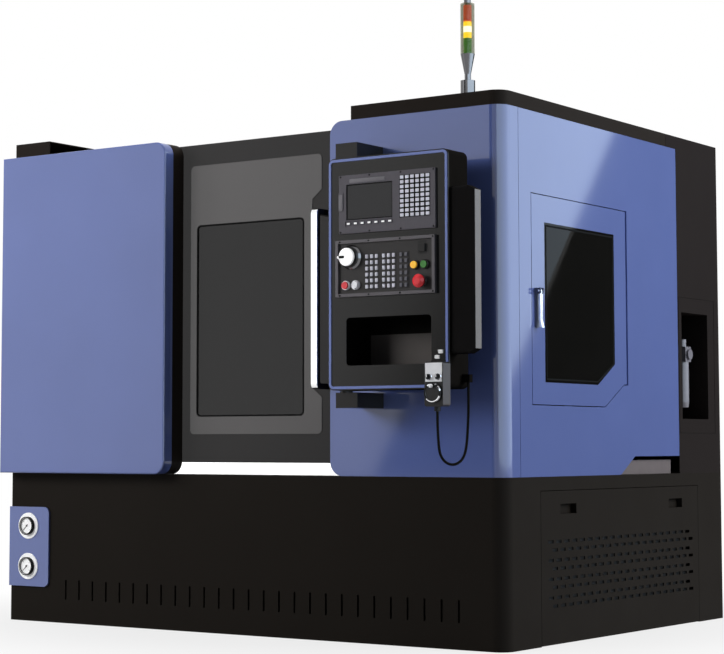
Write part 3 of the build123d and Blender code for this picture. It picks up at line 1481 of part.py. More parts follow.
# Pendant casing: box with the storage pocket's bin behind it, a back cover's seam and the cord's elbow
case_rear_y = pendant_front_y + pendant_depth
with BuildPart() as pendant_case:
    with BuildSketch(front_plane(case_rear_y)):
        soft_rect(pendant_left_x, pendant_right_x, pendant_low_z, pendant_high_z, pendant_radius)
    extrude(amount=pendant_depth)
    fillet(pendant_case.faces().sort_by(Axis.Y)[-1].edges(), case_back_radius)
    with BuildSketch(front_plane(case_rear_y)):
        soft_rect(pendant_left_x + back_groove_inset, pendant_right_x - back_groove_inset,
                  pocket_high_z + back_groove_inset, pendant_high_z - back_groove_inset, pendant_radius)
        soft_rect(pendant_left_x + back_groove_inset + groove_width,
                  pendant_right_x - back_groove_inset - groove_width,
                  pocket_high_z + back_groove_inset + groove_width,
                  pendant_high_z - back_groove_inset - groove_width, pendant_radius - groove_width,
                  mode=Mode.SUBTRACT)
    extrude(amount=groove_depth, both=True, mode=Mode.SUBTRACT)
    block(pocket_left_x - pocket_wall, pocket_right_x + pocket_wall, case_rear_y - overrun,
          pendant_front_y + pocket_depth + pocket_wall,
          pocket_low_z - pocket_wall, pocket_high_z + pocket_wall)
    with BuildSketch(front_plane(pendant_front_y + pocket_depth)):
        soft_rect(pocket_left_x, pocket_right_x, pocket_low_z, pocket_high_z, pocket_radius)
    extrude(amount=pocket_depth + overrun, mode=Mode.SUBTRACT)
    block(panel_left_x + panel_rim, panel_right_x - panel_rim, pendant_front_y - overrun,
          pendant_front_y + panel_cavity, panel_low_z + panel_rim, panel_high_z - panel_rim,
          mode=Mode.SUBTRACT)
    for bore_z in (pendant_low_z, pendant_high_z):
        with BuildSketch(Plane.XY.offset(bore_z)):
            with Locations((pivot_x, pivot_y)):
                Circle(pivot_pin_radius + running_gap)
        extrude(amount=pivot_pin_length + slide_gap, both=True, mode=Mode.SUBTRACT)
    block(pendant_right_x, elbow_x + elbow_size / 2, elbow_y - elbow_size / 2, elbow_y + elbow_size / 2,
          elbow_z, elbow_z + elbow_height)
    block(hand_centre_x - hand_holder_width / 2, hand_centre_x + hand_holder_width / 2, hand_rear_y,
          pendant_front_y, pendant_low_z + pendant_radius, hand_holder_top_z)
write(pendant_case, "pendant_case")

# Grip on the pendant's right side: upright bar with sloped ends on a solid web
with BuildPart() as pendant_grip:
    grip_front_y = pendant_front_y + grip_setback
    grip_bar_x = pendant_right_x + grip_reach
    block(pendant_right_x, grip_bar_x, grip_front_y, grip_front_y + grip_web_depth, grip_low_z, grip_high_z)
    fillet(pendant_grip.edges().filter_by(Axis.X), grip_radius)
    with BuildSketch(front_plane(grip_front_y + grip_bar_depth)):
        outline((grip_bar_x, grip_low_z), (grip_bar_x + grip_bar_width, grip_low_z + grip_bar_chamfer),
                (grip_bar_x + grip_bar_width, grip_high_z - grip_bar_chamfer), (grip_bar_x, grip_high_z))
    extrude(amount=grip_bar_depth)
    fillet(pendant_grip.edges().filter_by(Axis.Z).group_by(Axis.X)[-1], grip_edge_radius)
write(pendant_grip, "pendant_grip")

# Blue trim ring round the pendant's face
with BuildPart() as pendant_trim:
    ring_out = trim_inset
    ring_in = trim_inset + trim_width
    with BuildSketch(front_plane(pendant_front_y)):
        soft_rect(pendant_left_x + ring_out, pendant_right_x - ring_out, pendant_low_z + ring_out,
                  pendant_high_z - ring_out, pendant_radius - ring_out)
        soft_rect(pendant_left_x + ring_in, pendant_right_x - ring_in, pendant_low_z + ring_in,
                  pendant_high_z - ring_in, pendant_radius - ring_in, mode=Mode.SUBTRACT)
    extrude(amount=trim_proud)
write(pendant_trim, "pendant_trim")

# Control unit: bezel with recesses for the screen, the data keys and the soft keys
unit_front_y = pendant_front_y - unit_depth
softkey_centre_x = (screen_left_x + screen_right_x) / 2
softkey_half = (softkey_count * softkey_pitch) / 2
with BuildPart() as control_unit:
    with BuildSketch(front_plane(pendant_front_y)):
        rect(unit_left_x, unit_right_x, unit_low_z, unit_high_z)
    extrude(amount=unit_depth)
    with BuildSketch(front_plane(unit_front_y + unit_recess)):
        rect(screen_left_x, screen_right_x, screen_low_z, screen_high_z)
        rect(keyfield_left_x, keyfield_right_x, keyfield_low_z, keyfield_high_z)
        rect(softkey_centre_x - softkey_half, softkey_centre_x + softkey_half,
             softkey_z - softkey_height, softkey_z + softkey_height)
    extrude(amount=unit_recess + overrun, mode=Mode.SUBTRACT)
    with BuildSketch(front_plane(unit_front_y)):
        rect(unit_left_x, unit_left_x + slot_cover_width, slot_cover_low_z, slot_cover_high_z)
    extrude(amount=slot_cover_proud)
write(control_unit, "control_unit")

# Screen pane in its recess
with BuildPart() as screen:
    with BuildSketch(front_plane(unit_front_y + unit_recess)):
        rect(screen_left_x, screen_right_x, screen_low_z, screen_high_z)
    extrude(amount=screen_thickness)
write(screen, "screen")

# Rubber key mats: data keys, soft keys and the operator panel's keys
key_field_width = keyfield_right_x - keyfield_left_x
key_field_height = keyfield_high_z - keyfield_low_z
key_pitch_x = key_field_width / key_columns
key_pitch_z = key_field_height / key_rows
panel_floor_y = pendant_front_y - panel_depth + panel_recess
opkey_mat_left_x = opkey_group_xs[0] - opkey_pitch_x * opkey_group_counts[0] / 2
opkey_mat_right_x = opkey_group_xs[-1] + opkey_pitch_x * opkey_group_counts[-1] / 2
opkey_mat_half_z = opkey_pitch_z * opkey_rows / 2
with BuildPart() as keypads:
    with BuildSketch(front_plane(unit_front_y + unit_recess)):
        rect(keyfield_left_x, keyfield_right_x, keyfield_low_z, keyfield_high_z)
        rect(softkey_centre_x - softkey_half, softkey_centre_x + softkey_half,
             softkey_z - softkey_height, softkey_z + softkey_height)
    extrude(amount=key_mat)
    with BuildSketch(front_plane(unit_front_y + unit_recess - key_mat)):
        with Locations(((keyfield_left_x + keyfield_right_x) / 2, (keyfield_low_z + keyfield_high_z) / 2)):
            with GridLocations(key_pitch_x, key_pitch_z, key_columns, key_rows):
                Rectangle(key_pitch_x * key_fill_share, key_pitch_z * key_fill_share)
        with Locations((softkey_centre_x, softkey_z)):
            with GridLocations(softkey_pitch, softkey_pitch, softkey_count, 1):
                Rectangle(softkey_width, softkey_height)
    extrude(amount=key_proud)
    with BuildSketch(front_plane(panel_floor_y)):
        rect(opkey_mat_left_x, opkey_mat_right_x, opkey_centre_z - opkey_mat_half_z,
             opkey_centre_z + opkey_mat_half_z)
    extrude(amount=key_mat)
    with BuildSketch(front_plane(panel_floor_y - key_mat)):
        for group_x, group_count in zip(opkey_group_xs, opkey_group_counts):
            with Locations((group_x, opkey_centre_z)):
                with GridLocations(opkey_pitch_x, opkey_pitch_z, group_count, opkey_rows):
                    Rectangle(opkey_width, opkey_height)
    extrude(amount=key_proud)
write(keypads, "keypads")

# Operator panel: raised rim, bores for the knob and the buttons, small port cover
panel_front_y = pendant_front_y - panel_depth
with BuildPart() as operator_panel:
    with BuildSketch(front_plane(pendant_front_y)):
        rect(panel_left_x, panel_right_x, panel_low_z, panel_high_z)
    extrude(amount=panel_depth)
    with BuildSketch(front_plane(panel_floor_y)):
        rect(panel_left_x + panel_rim, panel_right_x - panel_rim, panel_low_z + panel_rim,
             panel_high_z - panel_rim)
    extrude(amount=panel_recess + overrun, mode=Mode.SUBTRACT)
    with BuildSketch(front_plane(panel_floor_y)):
        with Locations(*button_places.values()):
            Circle(button_collar_radius)
        with Locations((stop_x, stop_z)):
            Circle(stop_collar_radius)
    extrude(amount=button_collar_height)
    with BuildSketch(front_plane(panel_floor_y)):
        with Locations((port_cover_x, port_cover_z)):
            Rectangle(port_cover_size, port_cover_size)
    extrude(amount=port_cover_proud)
    with BuildSketch(front_plane(panel_floor_y)):
        with Locations(*button_places.values()):
            Circle(button_radius + running_gap)
        with Locations((stop_x, stop_z)):
            Circle(stop_neck_radius + running_gap)
        with Locations((knob_x, knob_z)):
            Circle(knob_shaft_radius + running_gap)
    extrude(amount=panel_depth + overrun, both=True, mode=Mode.SUBTRACT)
write(operator_panel, "operator_panel")

# Override knob: skirted dial on a shaft
with BuildPart() as override_knob:
    turned(facing_operator(knob_x, panel_floor_y - slide_gap, knob_z), [
        (-knob_shaft_length, 0),
        (-knob_shaft_length, knob_shaft_radius),
        (0, knob_shaft_radius),
        (0, knob_skirt_radius),
        (knob_skirt_height, knob_radius),
        (knob_height, knob_radius),
        (knob_height, 0),
    ])
write(override_knob, "override_knob")

# Round push buttons
for button_name, (button_x, button_z) in button_places.items():
    with BuildPart() as button:
        turned(facing_operator(button_x, panel_floor_y, button_z), [
            (-button_stem_length, 0),
            (-button_stem_length, button_radius),
            (button_proud, button_radius),
            (button_proud, 0),
        ])
    write(button, button_name)

# Mushroom stop button
stop_under = stop_collar_height + stop_travel_gap
with BuildPart() as stop_button:
    turned(facing_operator(stop_x, panel_floor_y, stop_z), [
        (-button_stem_length, 0),
        (-button_stem_length, stop_neck_radius),
        (stop_under, stop_neck_radius),
        (stop_under, stop_radius),
        (stop_under + stop_head_height / 2, stop_radius),
        (stop_under + stop_head_height, stop_neck_radius),
        (stop_under + stop_head_height, 0),
    ])
write(stop_button, "stop_button")

# Hand unit: moulded box with bores for its wheel and selectors, and a strain relief below
with BuildPart() as hand_unit_case:
    with BuildSketch(front_plane(hand_rear_y)):
        soft_rect(hand_left_x, hand_left_x + hand_width, hand_low_z, hand_high_z, hand_radius)
    extrude(amount=hand_depth)
    fillet(hand_unit_case.faces().sort_by(Axis.Y)[0].edges(), seam_gap)
    with BuildSketch(front_plane(hand_front_y)):
        with Locations((hand_centre_x, wheel_z)):
            Circle(wheel_pin_radius + running_gap)
        with Locations((hand_centre_x - selector_offset, selector_z),
                       (hand_centre_x + selector_offset, selector_z)):
            Circle(selector_pin_radius + running_gap)
    extrude(amount=-(wheel_pin_length + slide_gap), mode=Mode.SUBTRACT)
    with BuildSketch(Plane.XY.offset(relief_z)):
        with Locations((relief_x, relief_y)):
            Circle(relief_radius)
    extrude(amount=hand_low_z - relief_z)
write(hand_unit_case, "hand_unit_case")

# Handwheel with its crank grip
with BuildPart() as handwheel:
    turned(facing_operator(hand_centre_x, hand_front_y - slide_gap, wheel_z), [
        (-wheel_pin_length, 0),
        (-wheel_pin_length, wheel_pin_radius),
        (0, wheel_pin_radius),
        (0, wheel_radius),
        (wheel_thickness, wheel_radius),
        (wheel_thickness, wheel_radius - wheel_dish),
        (wheel_thickness - wheel_dish, wheel_radius - 2 * wheel_dish),
        (wheel_thickness - wheel_dish, 0),
    ])
    with BuildSketch(front_plane(hand_front_y - slide_gap - wheel_thickness + wheel_dish)):
        with Locations((hand_centre_x, wheel_z + wheel_knob_offset)):
            Circle(wheel_knob_radius)
    extrude(amount=wheel_knob_length)
write(handwheel, "handwheel")

# Two pointer selectors
for selector_name, selector_side in (("axis_selector", -1), ("rate_selector", 1)):
    with BuildPart() as selector:
        selector_x = hand_centre_x + selector_side * selector_offset
        turned(facing_operator(selector_x, hand_front_y - slide_gap, selector_z), [
            (-wheel_pin_length, 0),
            (-wheel_pin_length, selector_pin_radius),
            (0, selector_pin_radius),
            (0, selector_radius),
            (selector_height / 2, selector_radius),
            (selector_height / 2, 0),
        ])
        with BuildSketch(front_plane(hand_front_y - slide_gap)):
            with Locations((selector_x, selector_z)):
                Rectangle(selector_radius * 2 / 3, selector_radius * 2)
        extrude(amount=selector_height)
    write(selector, selector_name)


def cord_radii(route):
    """Bend radii for the inner points of a cord's route, each as wide as its runs allow."""
    radii = []
    for before, point, after in zip(route, route[1:], route[2:]):
        arrive = Vector(*point) - Vector(*before)
        leave = Vector(*after) - Vector(*point)
        half_turn = math.radians(arrive.get_angle(leave)) / 2
        shorter_run = min(arrive.length, leave.length)
        radii.append(cord_run_share * shorter_run / math.tan(half_turn))
    return radii


def cord_point(along_share, height_share, high_z):
    """Point of the hanging loop between the relief and the elbow."""
    low_z = relief_z - cord_drop
    x = relief_x + along_share * (elbow_x - relief_x)
    y = relief_y + along_share * (elbow_y - relief_y)
    return (x, y, low_z + height_share * (high_z - low_z))


# Cord of the hand unit
cord_route = [cord_point(along, height, relief_z) for along, height in cord_fall_shares]
cord_route += [cord_point(along, height, elbow_z) for along, height in cord_rise_shares]
bend_radii = cord_radii(cord_route)
print("cord bend radii", [round(radius) for radius in bend_radii])
with BuildPart() as hand_unit_cord:
    with BuildLine() as cord_path:
        FilletPolyline(*cord_route, radius=bend_radii)
    cord_start = Plane(cord_path.line @ 0, z_dir=cord_path.line % 0)
    with BuildSketch(cord_start):
        Circle(cord_diameter / 2)
    sweep(path=cord_path.line)
cord_length = sum(edge.length for edge in cord_path.edges())
cord_section = math.pi * cord_diameter ** 2 / 4
print("cord length", round(cord_length, 1))
print("cord volume share", round(hand_unit_cord.part.volume / (cord_section * cord_length), 4))
write(hand_unit_cord, "hand_unit_cord")
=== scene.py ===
"""Studio picture of a CNC turning lathe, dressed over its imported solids.

Every size is in metres in the row frame: origin in the middle of the base at floor level,
+X along the spindle to the pendant end, +Y from the operator's side to the back, +Z up.
"""

from __future__ import annotations

import json
import logging
import math
from dataclasses import dataclass
from enum import Enum
from typing import Any, Mapping, Sequence

import bpy
import numpy as np
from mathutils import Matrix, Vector

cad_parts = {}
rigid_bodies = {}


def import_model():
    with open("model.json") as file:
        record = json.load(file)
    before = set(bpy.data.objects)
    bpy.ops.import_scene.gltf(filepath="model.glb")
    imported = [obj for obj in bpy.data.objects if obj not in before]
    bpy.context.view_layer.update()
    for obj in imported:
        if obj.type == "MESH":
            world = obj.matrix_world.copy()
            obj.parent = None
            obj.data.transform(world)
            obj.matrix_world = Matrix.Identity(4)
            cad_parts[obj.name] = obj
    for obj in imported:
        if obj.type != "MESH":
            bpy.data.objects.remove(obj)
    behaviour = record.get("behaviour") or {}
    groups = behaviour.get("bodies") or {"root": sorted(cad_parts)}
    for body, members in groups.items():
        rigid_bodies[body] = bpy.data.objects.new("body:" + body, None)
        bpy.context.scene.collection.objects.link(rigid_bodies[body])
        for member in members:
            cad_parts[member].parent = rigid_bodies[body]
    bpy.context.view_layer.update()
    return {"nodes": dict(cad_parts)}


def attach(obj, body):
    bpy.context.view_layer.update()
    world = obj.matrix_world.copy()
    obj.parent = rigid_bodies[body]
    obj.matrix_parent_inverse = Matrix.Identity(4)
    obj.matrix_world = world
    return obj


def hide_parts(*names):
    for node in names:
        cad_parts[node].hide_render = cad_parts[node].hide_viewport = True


LOG = logging.getLogger("lathe")
MM = 0.001
FULL_TURN = (0.0, 360.0)
SHARP_ANGLE = math.radians(35)
WHITE = "#ffffff"
BLACK = "#000000"
# A turned profile that reaches its axis stops at this radius.
HUB = 0.0001
# A zone that reaches past the machine ends here.
FAR = 5.0

Array = np.ndarray
Place = tuple[float, float]
Point = tuple[float, float, float]
Profile = Sequence[Place]
Shape = tuple[Array, Array]
Socket = bpy.types.NodeSocket


def srgb(code: str) -> tuple[float, float, float, float]:
    """Turn an sRGB hex colour into Blender's linear colour.

    Each channel is a straight line up to 0.04045, and a power of 2.4 above it.

    Args:
        code: Colour such as "#5f73b5".

    Returns:
        Linear red, green, blue and alpha.
    """
    channels = np.array([int(code[i : i + 2], 16) for i in (1, 3, 5)]) / 255
    linear = np.where(channels <= 0.04045, channels / 12.92, ((channels + 0.055) / 1.055) ** 2.4)
    return (float(linear[0]), float(linear[1]), float(linear[2]), 1.0)


class Tree:
    """Node tree of a material or of the world, with one way to add and wire nodes."""

    def __init__(self, owner: bpy.types.Material | bpy.types.World) -> None:
        """Empty the owner's node tree.

        Args:
            owner: The material or the world.
        """
        owner.use_nodes = True
        self.owner = owner
        self.nodes, self.links = owner.node_tree.nodes, owner.node_tree.links
        self.nodes.clear()
        self.place = self.add("ShaderNodeTexCoord").outputs["Object"]

    def add(self, kind: str, inputs: Mapping[Any, Any] | None = None, **settings: Any) -> bpy.types.Node:
        """Add a node.

        Args:
            kind: Blender's node type.
            inputs: Values or sockets by input name or number.
            **settings: The node's own properties.

        Returns:
            The new node.
        """
        node = self.nodes.new(kind)
        for name, value in settings.items():
            setattr(node, name, value)
        for socket, value in (inputs or {}).items():
            if isinstance(value, bpy.types.NodeSocket):
                self.links.new(value, node.inputs[socket])
            else:
                node.inputs[socket].default_value = value
        return node

    def noise(self, grain_mm: float, detail: float = 2.0, stretch: Point = (1.0, 1.0, 1.0)) -> Socket:
        """Add a noise whose grain has a real size: the place over the grain's size on each axis.

        Args:
            grain_mm: Size of one grain in millimetres.
            detail: Octaves of finer grain.
            stretch: How many times longer the grain is along each axis.

        Returns:
            The noise's factor.
        """
        scale = tuple(1 / (grain_mm * MM * s) for s in stretch)
        mapped = self.add("ShaderNodeMapping", {"Vector": self.place, "Scale": scale}).outputs["Vector"]
        inputs = {"Vector": mapped, "Scale": 1.0, "Detail": detail}
        return self.add("ShaderNodeTexNoise", inputs).outputs["Fac"]

    def spread(self, noise: Socket, low: float, high: float) -> Socket:
        """Spread a noise from its usual range, 0.3 to 0.7, evenly over low to high."""
        return self.add("ShaderNodeMapRange", {0: noise, 1: 0.3, 2: 0.7, 3: low, 4: high}).outputs[0]

    def toned(self, colour: str, drift: float, patch_mm: float) -> Socket:
        """Let a colour's brightness drift by a share up or down, in patches of a real size."""
        value = self.spread(self.noise(patch_mm), 1 - drift, 1 + drift)
        return self.add("ShaderNodeHueSaturation", {"Value": value, "Color": srgb(colour)}).outputs["Color"]

    def relief(self, height: Socket, depth_mm: float, edge_mm: float) -> Socket:
        """Add a fine surface relief over softly rounded edges.

        Args:
            height: Height from 0 to 1.
            depth_mm: Depth of the relief in millimetres.
            edge_mm: Radius of the rounded edges in millimetres.

        Returns:
            The normal.
        """
        edge = self.add("ShaderNodeBevel", {"Radius": edge_mm * MM}, samples=4).outputs["Normal"]
        bump = self.add("ShaderNodeBump", {"Height": height, "Distance": depth_mm * MM, "Normal": edge})
        return bump.outputs["Normal"]

    def inside(self, low: Point, high: Point) -> Socket:
        """Tell whether a place lies in a box.

        The distance from the box's middle, over half its size, is under 1 on every axis.

        Args:
            low: The box's lowest corner.
            high: The box's highest corner.

        Returns:
            1 in the box, else 0.
        """
        middle = tuple((a + b) / 2 for a, b in zip(low, high))
        half = tuple((b - a) / 2 for a, b in zip(low, high))
        offset = self.add("ShaderNodeVectorMath", {0: self.place, 1: middle}, operation="SUBTRACT").outputs[0]
        share = self.add("ShaderNodeVectorMath", {0: offset, 1: half}, operation="DIVIDE").outputs[0]
        size = self.add("ShaderNodeVectorMath", {0: share}, operation="ABSOLUTE").outputs[0]
        axes = self.add("ShaderNodeSeparateXYZ", {"Vector": size}).outputs
        most = self.add("ShaderNodeMath", {0: axes[0], 1: axes[1]}, operation="MAXIMUM").outputs[0]
        most = self.add("ShaderNodeMath", {0: most, 1: axes[2]}, operation="MAXIMUM").outputs[0]
        return self.add("ShaderNodeMath", {0: most, 1: 1.0}, operation="LESS_THAN").outputs[0]

    def seen(self) -> Socket:
        """Tell whether a ray comes from the camera, from gloss or through a pane.

        Returns:
            1 for such a ray, else 0.
        """
        path = self.add("ShaderNodeLightPath").outputs
        seen = path["Is Camera Ray"]
        for kind in ("Is Glossy Ray", "Is Transmission Ray"):
            seen = self.add("ShaderNodeMath", {0: seen, 1: path[kind]}, operation="MAXIMUM").outputs[0]
        return seen

    def finish(self, shader: Socket, output: str = "ShaderNodeOutputMaterial") -> Any:
        """Wire the last shader to the output, and give the finished material or world back."""
        self.add(output, {"Surface": shader})
        return self.owner


class Grain(Enum):
    """How many times longer a surface's marks are on each axis, from the way it was worked."""

    ALONG_X = (60.0, 1.0, 1.0)
    ALONG_Z = (1.0, 1.0, 60.0)
    NONE = (1.0, 1.0, 1.0)


@dataclass(frozen=True)
class Zone:
    """Box-shaped part of a piece that has a look of its own."""

    colour: str
    low: Point
    high: Point
    metallic: float = 0.0
    gloss: float = 0.3
    glow: float = 0.0


@dataclass(frozen=True)
class Finish:
    """Opaque finish: a colour that drifts in patches, and marks that roughen and emboss it.

    Real marks are mostly finer. They are drawn as coarse as they need to show.
    """

    name: str
    colour: str
    roughness: float = 0.35
    gloss: float = 0.3
    metallic: float = 0.0
    coat: float = 0.0
    coat_roughness: float = 0.05
    glow: float = 0.0
    grain: Grain = Grain.NONE
    grain_mm: float = 0.8
    detail: float = 2.0
    depth_mm: float = 0.004
    edge_mm: float = 1.2
    drift: float = 0.04
    patch_mm: float = 40.0
    wear: float = 0.15
    wear_mm: float | None = None
    zones: tuple[Zone, ...] = ()

    def build(self) -> bpy.types.Material:
        """Make the material. Each zone in turn lies over what came before it.

        Returns:
            The material.
        """
        tree = Tree(bpy.data.materials.new(self.name))
        marks = tree.noise(self.grain_mm, self.detail, self.grain.value)
        worn = tree.noise(self.wear_mm) if self.wear_mm else marks
        low, high = self.roughness * (1 - self.wear), self.roughness * (1 + self.wear)
        inputs: dict[str, Any] = {
            "Base Color": tree.toned(self.colour, self.drift, self.patch_mm),
            "Metallic": self.metallic,
            "Roughness": tree.spread(worn, low, high),
            "Specular IOR Level": self.gloss,
            "Coat Weight": self.coat,
            "Coat Roughness": self.coat_roughness,
            "Emission Color": srgb(self.colour),
            "Emission Strength": self.glow,
            "Normal": tree.relief(marks, self.depth_mm, self.edge_mm),
        }
        for zone in self.zones:
            inside = tree.inside(zone.low, zone.high)
            colours = {0: inside, 6: inputs["Base Color"], 7: tree.toned(zone.colour, 0.03, self.patch_mm)}
            colour = tree.add("ShaderNodeMix", colours, data_type="RGBA").outputs[2]
            inputs["Base Color"] = inputs["Emission Color"] = colour
            for name, value in (("Metallic", zone.metallic), ("Specular IOR Level", zone.gloss),
                                ("Emission Strength", zone.glow)):
                inputs[name] = tree.add("ShaderNodeMix", {0: inside, 2: inputs[name], 3: value}).outputs[0]
        return tree.finish(tree.add("ShaderNodeBsdfPrincipled", inputs).outputs["BSDF"])


@dataclass(frozen=True)
class Paint(Finish):
    """Baked enamel or powder paint on sheet steel: a soft orange peel under a thin clear gloss."""

    roughness: float = 0.45
    gloss: float = 0.5
    coat: float = 0.25
    grain_mm: float = 2.5
    depth_mm: float = 0.012
    edge_mm: float = 1.6
    drift: float = 0.035
    patch_mm: float = 420.0
    wear: float = 0.08
    wear_mm: float | None = 180.0


@dataclass(frozen=True)
class Metal(Finish):
    """Bare metal: brushed, machined or plated, with fine marks along its working direction."""

    roughness: float = 0.3
    gloss: float = 0.5
    metallic: float = 1.0
    grain_mm: float = 0.6
    detail: float = 3.0
    depth_mm: float = 0.006
    edge_mm: float = 0.8
    drift: float = 0.05
    patch_mm: float = 60.0
    wear: float = 0.25


@dataclass(frozen=True)
class Plastic(Finish):
    """Moulded plastic or rubber with a spark-eroded grain."""

    roughness: float = 0.45
    gloss: float = 0.35
    grain_mm: float = 0.5
    depth_mm: float = 0.008
    edge_mm: float = 0.5
    patch_mm: float = 12.0
    wear: float = 0.1


@dataclass(frozen=True)
class Pane:
    """Clear or tinted pane: glossy, slightly smeared and see-through by a share."""

    name: str
    colour: str
    clear: float = 0.12
    roughness: float = 0.04
    gloss: float = 0.25
    smear_mm: float = 90.0
    patch_mm: float = 150.0

    def build(self) -> bpy.types.Material:
        """Make the material.

        Returns:
            The material.
        """
        tree = Tree(bpy.data.materials.new(self.name))
        smear = tree.noise(self.smear_mm)
        solid = tree.add("ShaderNodeBsdfPrincipled", {
            "Base Color": tree.toned(self.colour, 0.06, self.patch_mm),
            "Roughness": tree.spread(smear, self.roughness * 0.6, self.roughness * 1.6),
            "Specular IOR Level": self.gloss,
        })
        through = tree.add("ShaderNodeBsdfTransparent", {"Color": srgb(WHITE)})
        mixed = tree.add("ShaderNodeMixShader", {0: self.clear, 1: solid.outputs[0], 2: through.outputs[0]})
        return tree.finish(mixed.outputs[0])


@dataclass(frozen=True)
class Surface:
    """Flat plane in space that takes across, up and out distances."""

    origin: Point
    right: Point
    up: Point
    out: Point

    def at(self, across: Array | float, up: Array | float, out: Array | float) -> Array:
        """Place points given on this plane: the origin plus each distance along its direction.

        Args:
            across: Distances along the plane's right direction.
            up: Distances along its up direction.
            out: Distances out of the plane.

        Returns:
            Points in space, with the last axis of length 3.
        """
        across, up, out = np.broadcast_arrays(across, up, out)
        local = np.stack([across, up, out], axis=-1).astype(float)
        return local @ np.array([self.right, self.up, self.out]) + np.array(self.origin)


def facing_front(y: float) -> Surface:
    """Plane at depth y that faces the operator, with across along +X and up along +Z."""
    return Surface((0, y, 0), (1, 0, 0), (0, 0, 1), (0, -1, 0))


def facing_side(x: float) -> Surface:
    """Plane at place x that faces the pendant end, with across along +Y and up along +Z."""
    return Surface((x, 0, 0), (0, 1, 0), (0, 0, 1), (1, 0, 0))


def facing_rear(y: float) -> Surface:
    """Plane at depth y that faces away from the operator, with across along -X and up along +Z."""
    return Surface((0, y, 0), (-1, 0, 0), (0, 0, 1), (0, 1, 0))


def facing_up(z: float) -> Surface:
    """Plane at height z that faces upwards, with across along +X and up along +Y."""
    return Surface((0, 0, z), (1, 0, 0), (0, 1, 0), (0, 0, 1))


def lattice_faces(rows: int, columns: int, wrap_rows: bool, wrap_columns: bool) -> Array:
    """Four-sided faces of a grid of points: each point with its next ones in row and column.

    Args:
        rows: Rows of points.
        columns: Points in a row.
        wrap_rows: Whether the last row joins the first.
        wrap_columns: Whether each row closes on itself.

    Returns:
        Point numbers, four to a face.
    """
    row_starts = np.arange(rows if wrap_rows else rows - 1)
    column_starts = np.arange(columns if wrap_columns else columns - 1)
    row, column = np.meshgrid(row_starts, column_starts, indexing="ij")
    next_row, next_column = (row + 1) % rows, (column + 1) % columns
    corners = [row * columns + column, row * columns + next_column,
               next_row * columns + next_column, next_row * columns + column]
    return np.stack([corner.ravel() for corner in corners], axis=1)


def turned(surface: Surface, centre: Place, profile: Profile, segments: int,
           sweep: Place = FULL_TURN) -> Shape:
    """Turn a profile round an axis that stands out of a plane.

    Each point goes to the centre plus its radius times the cosine and sine of the angle.

    Args:
        surface: The plane.
        centre: Place of the axis on the plane.
        profile: (radius, out) points.
        segments: Steps round the axis.
        sweep: First and last angle in degrees.

    Returns:
        Points and faces.
    """
    radius, out = np.array(profile, float).T
    closed = sweep == FULL_TURN
    angle = np.radians(np.linspace(*sweep, segments, endpoint=not closed))
    across = centre[0] + radius[:, None] * np.cos(angle)
    up = centre[1] + radius[:, None] * np.sin(angle)
    points = surface.at(across, up, out[:, None])
    return points.reshape(-1, 3), lattice_faces(len(radius), segments, False, closed)


def join(parts: Sequence[Shape]) -> Shape:
    """Join several shapes into one: each one's faces count on from the points before it.

    Args:
        parts: Points and faces of each.

    Returns:
        All points and faces.
    """
    offsets = np.cumsum([0] + [len(points) for points, _ in parts[:-1]])
    points = np.concatenate([points for points, _ in parts])
    faces = np.concatenate([faces + offset for (_, faces), offset in zip(parts, offsets)])
    return points, faces


def turned_each(surface: Surface, places: Sequence[Place], profile: Profile, segments: int) -> Shape:
    """Turn the same profile at several places of a plane, as one shape."""
    return join([turned(surface, place, profile, segments) for place in places])


def rounded_loop(width: float, height: float, radius: float, steps: int) -> Shape:
    """Points and outward directions round a rectangle with round corners.

    Each corner is a quarter circle about a middle that lies a radius in from both sides.

    Args:
        width: Width of the rectangle.
        height: Height of the rectangle.
        radius: Radius of its corners.
        steps: Points in each corner.

    Returns:
        Points about the middle, and unit directions outwards.
    """
    quarter = np.linspace(0, math.pi / 2, steps)
    angle = (quarter[None, :] + np.arange(4)[:, None] * math.pi / 2).ravel()
    outward = np.stack([np.cos(angle), np.sin(angle)], axis=1)
    signs = np.repeat(np.array([[1, 1], [-1, 1], [-1, -1], [1, -1]]), steps, axis=0)
    middle = signs * (np.array([width, height]) / 2 - radius)
    return middle + outward * radius, outward


def polygon_loop(corners: Sequence[Place]) -> Shape:
    """Corners of a polygon that runs anticlockwise, and mitred directions out of it.

    A mitre is the sum of the two sides' normals over one plus their product.

    Args:
        corners: The polygon's corners.

    Returns:
        The corners, and the outward direction at each.
    """
    loop = np.array(corners, float)
    edge = np.roll(loop, -1, axis=0) - loop
    normal = np.stack([edge[:, 1], -edge[:, 0]], axis=1) / np.linalg.norm(edge, axis=1)[:, None]
    before = np.roll(normal, 1, axis=0)
    return loop, (normal + before) / (1 + (normal * before).sum(axis=1))[:, None]


def framed(surface: Surface, loop: Array, outward: Array, profile: Profile, centre: Place) -> Shape:
    """Carry a closed profile round a loop, such as a gasket round a pane.

    Args:
        surface: The plane of the loop.
        loop: Points of the loop about its middle.
        outward: Outward direction at each point.
        profile: (outward, out of plane) points of the profile.
        centre: Middle of the loop on the plane.

    Returns:
        Points and faces.
    """
    section = np.array(profile, float)
    flat = loop[:, None, :] + outward[:, None, :] * section[None, :, :1]
    points = surface.at(flat[..., 0] + centre[0], flat[..., 1] + centre[1], section[None, :, 1])
    return points.reshape(-1, 3), lattice_faces(len(loop), len(section), True, True)


@dataclass(frozen=True)
class Cap:
    """Key cap, or any low block, with round corners."""

    width: float
    height: float
    rise: float
    radius: float


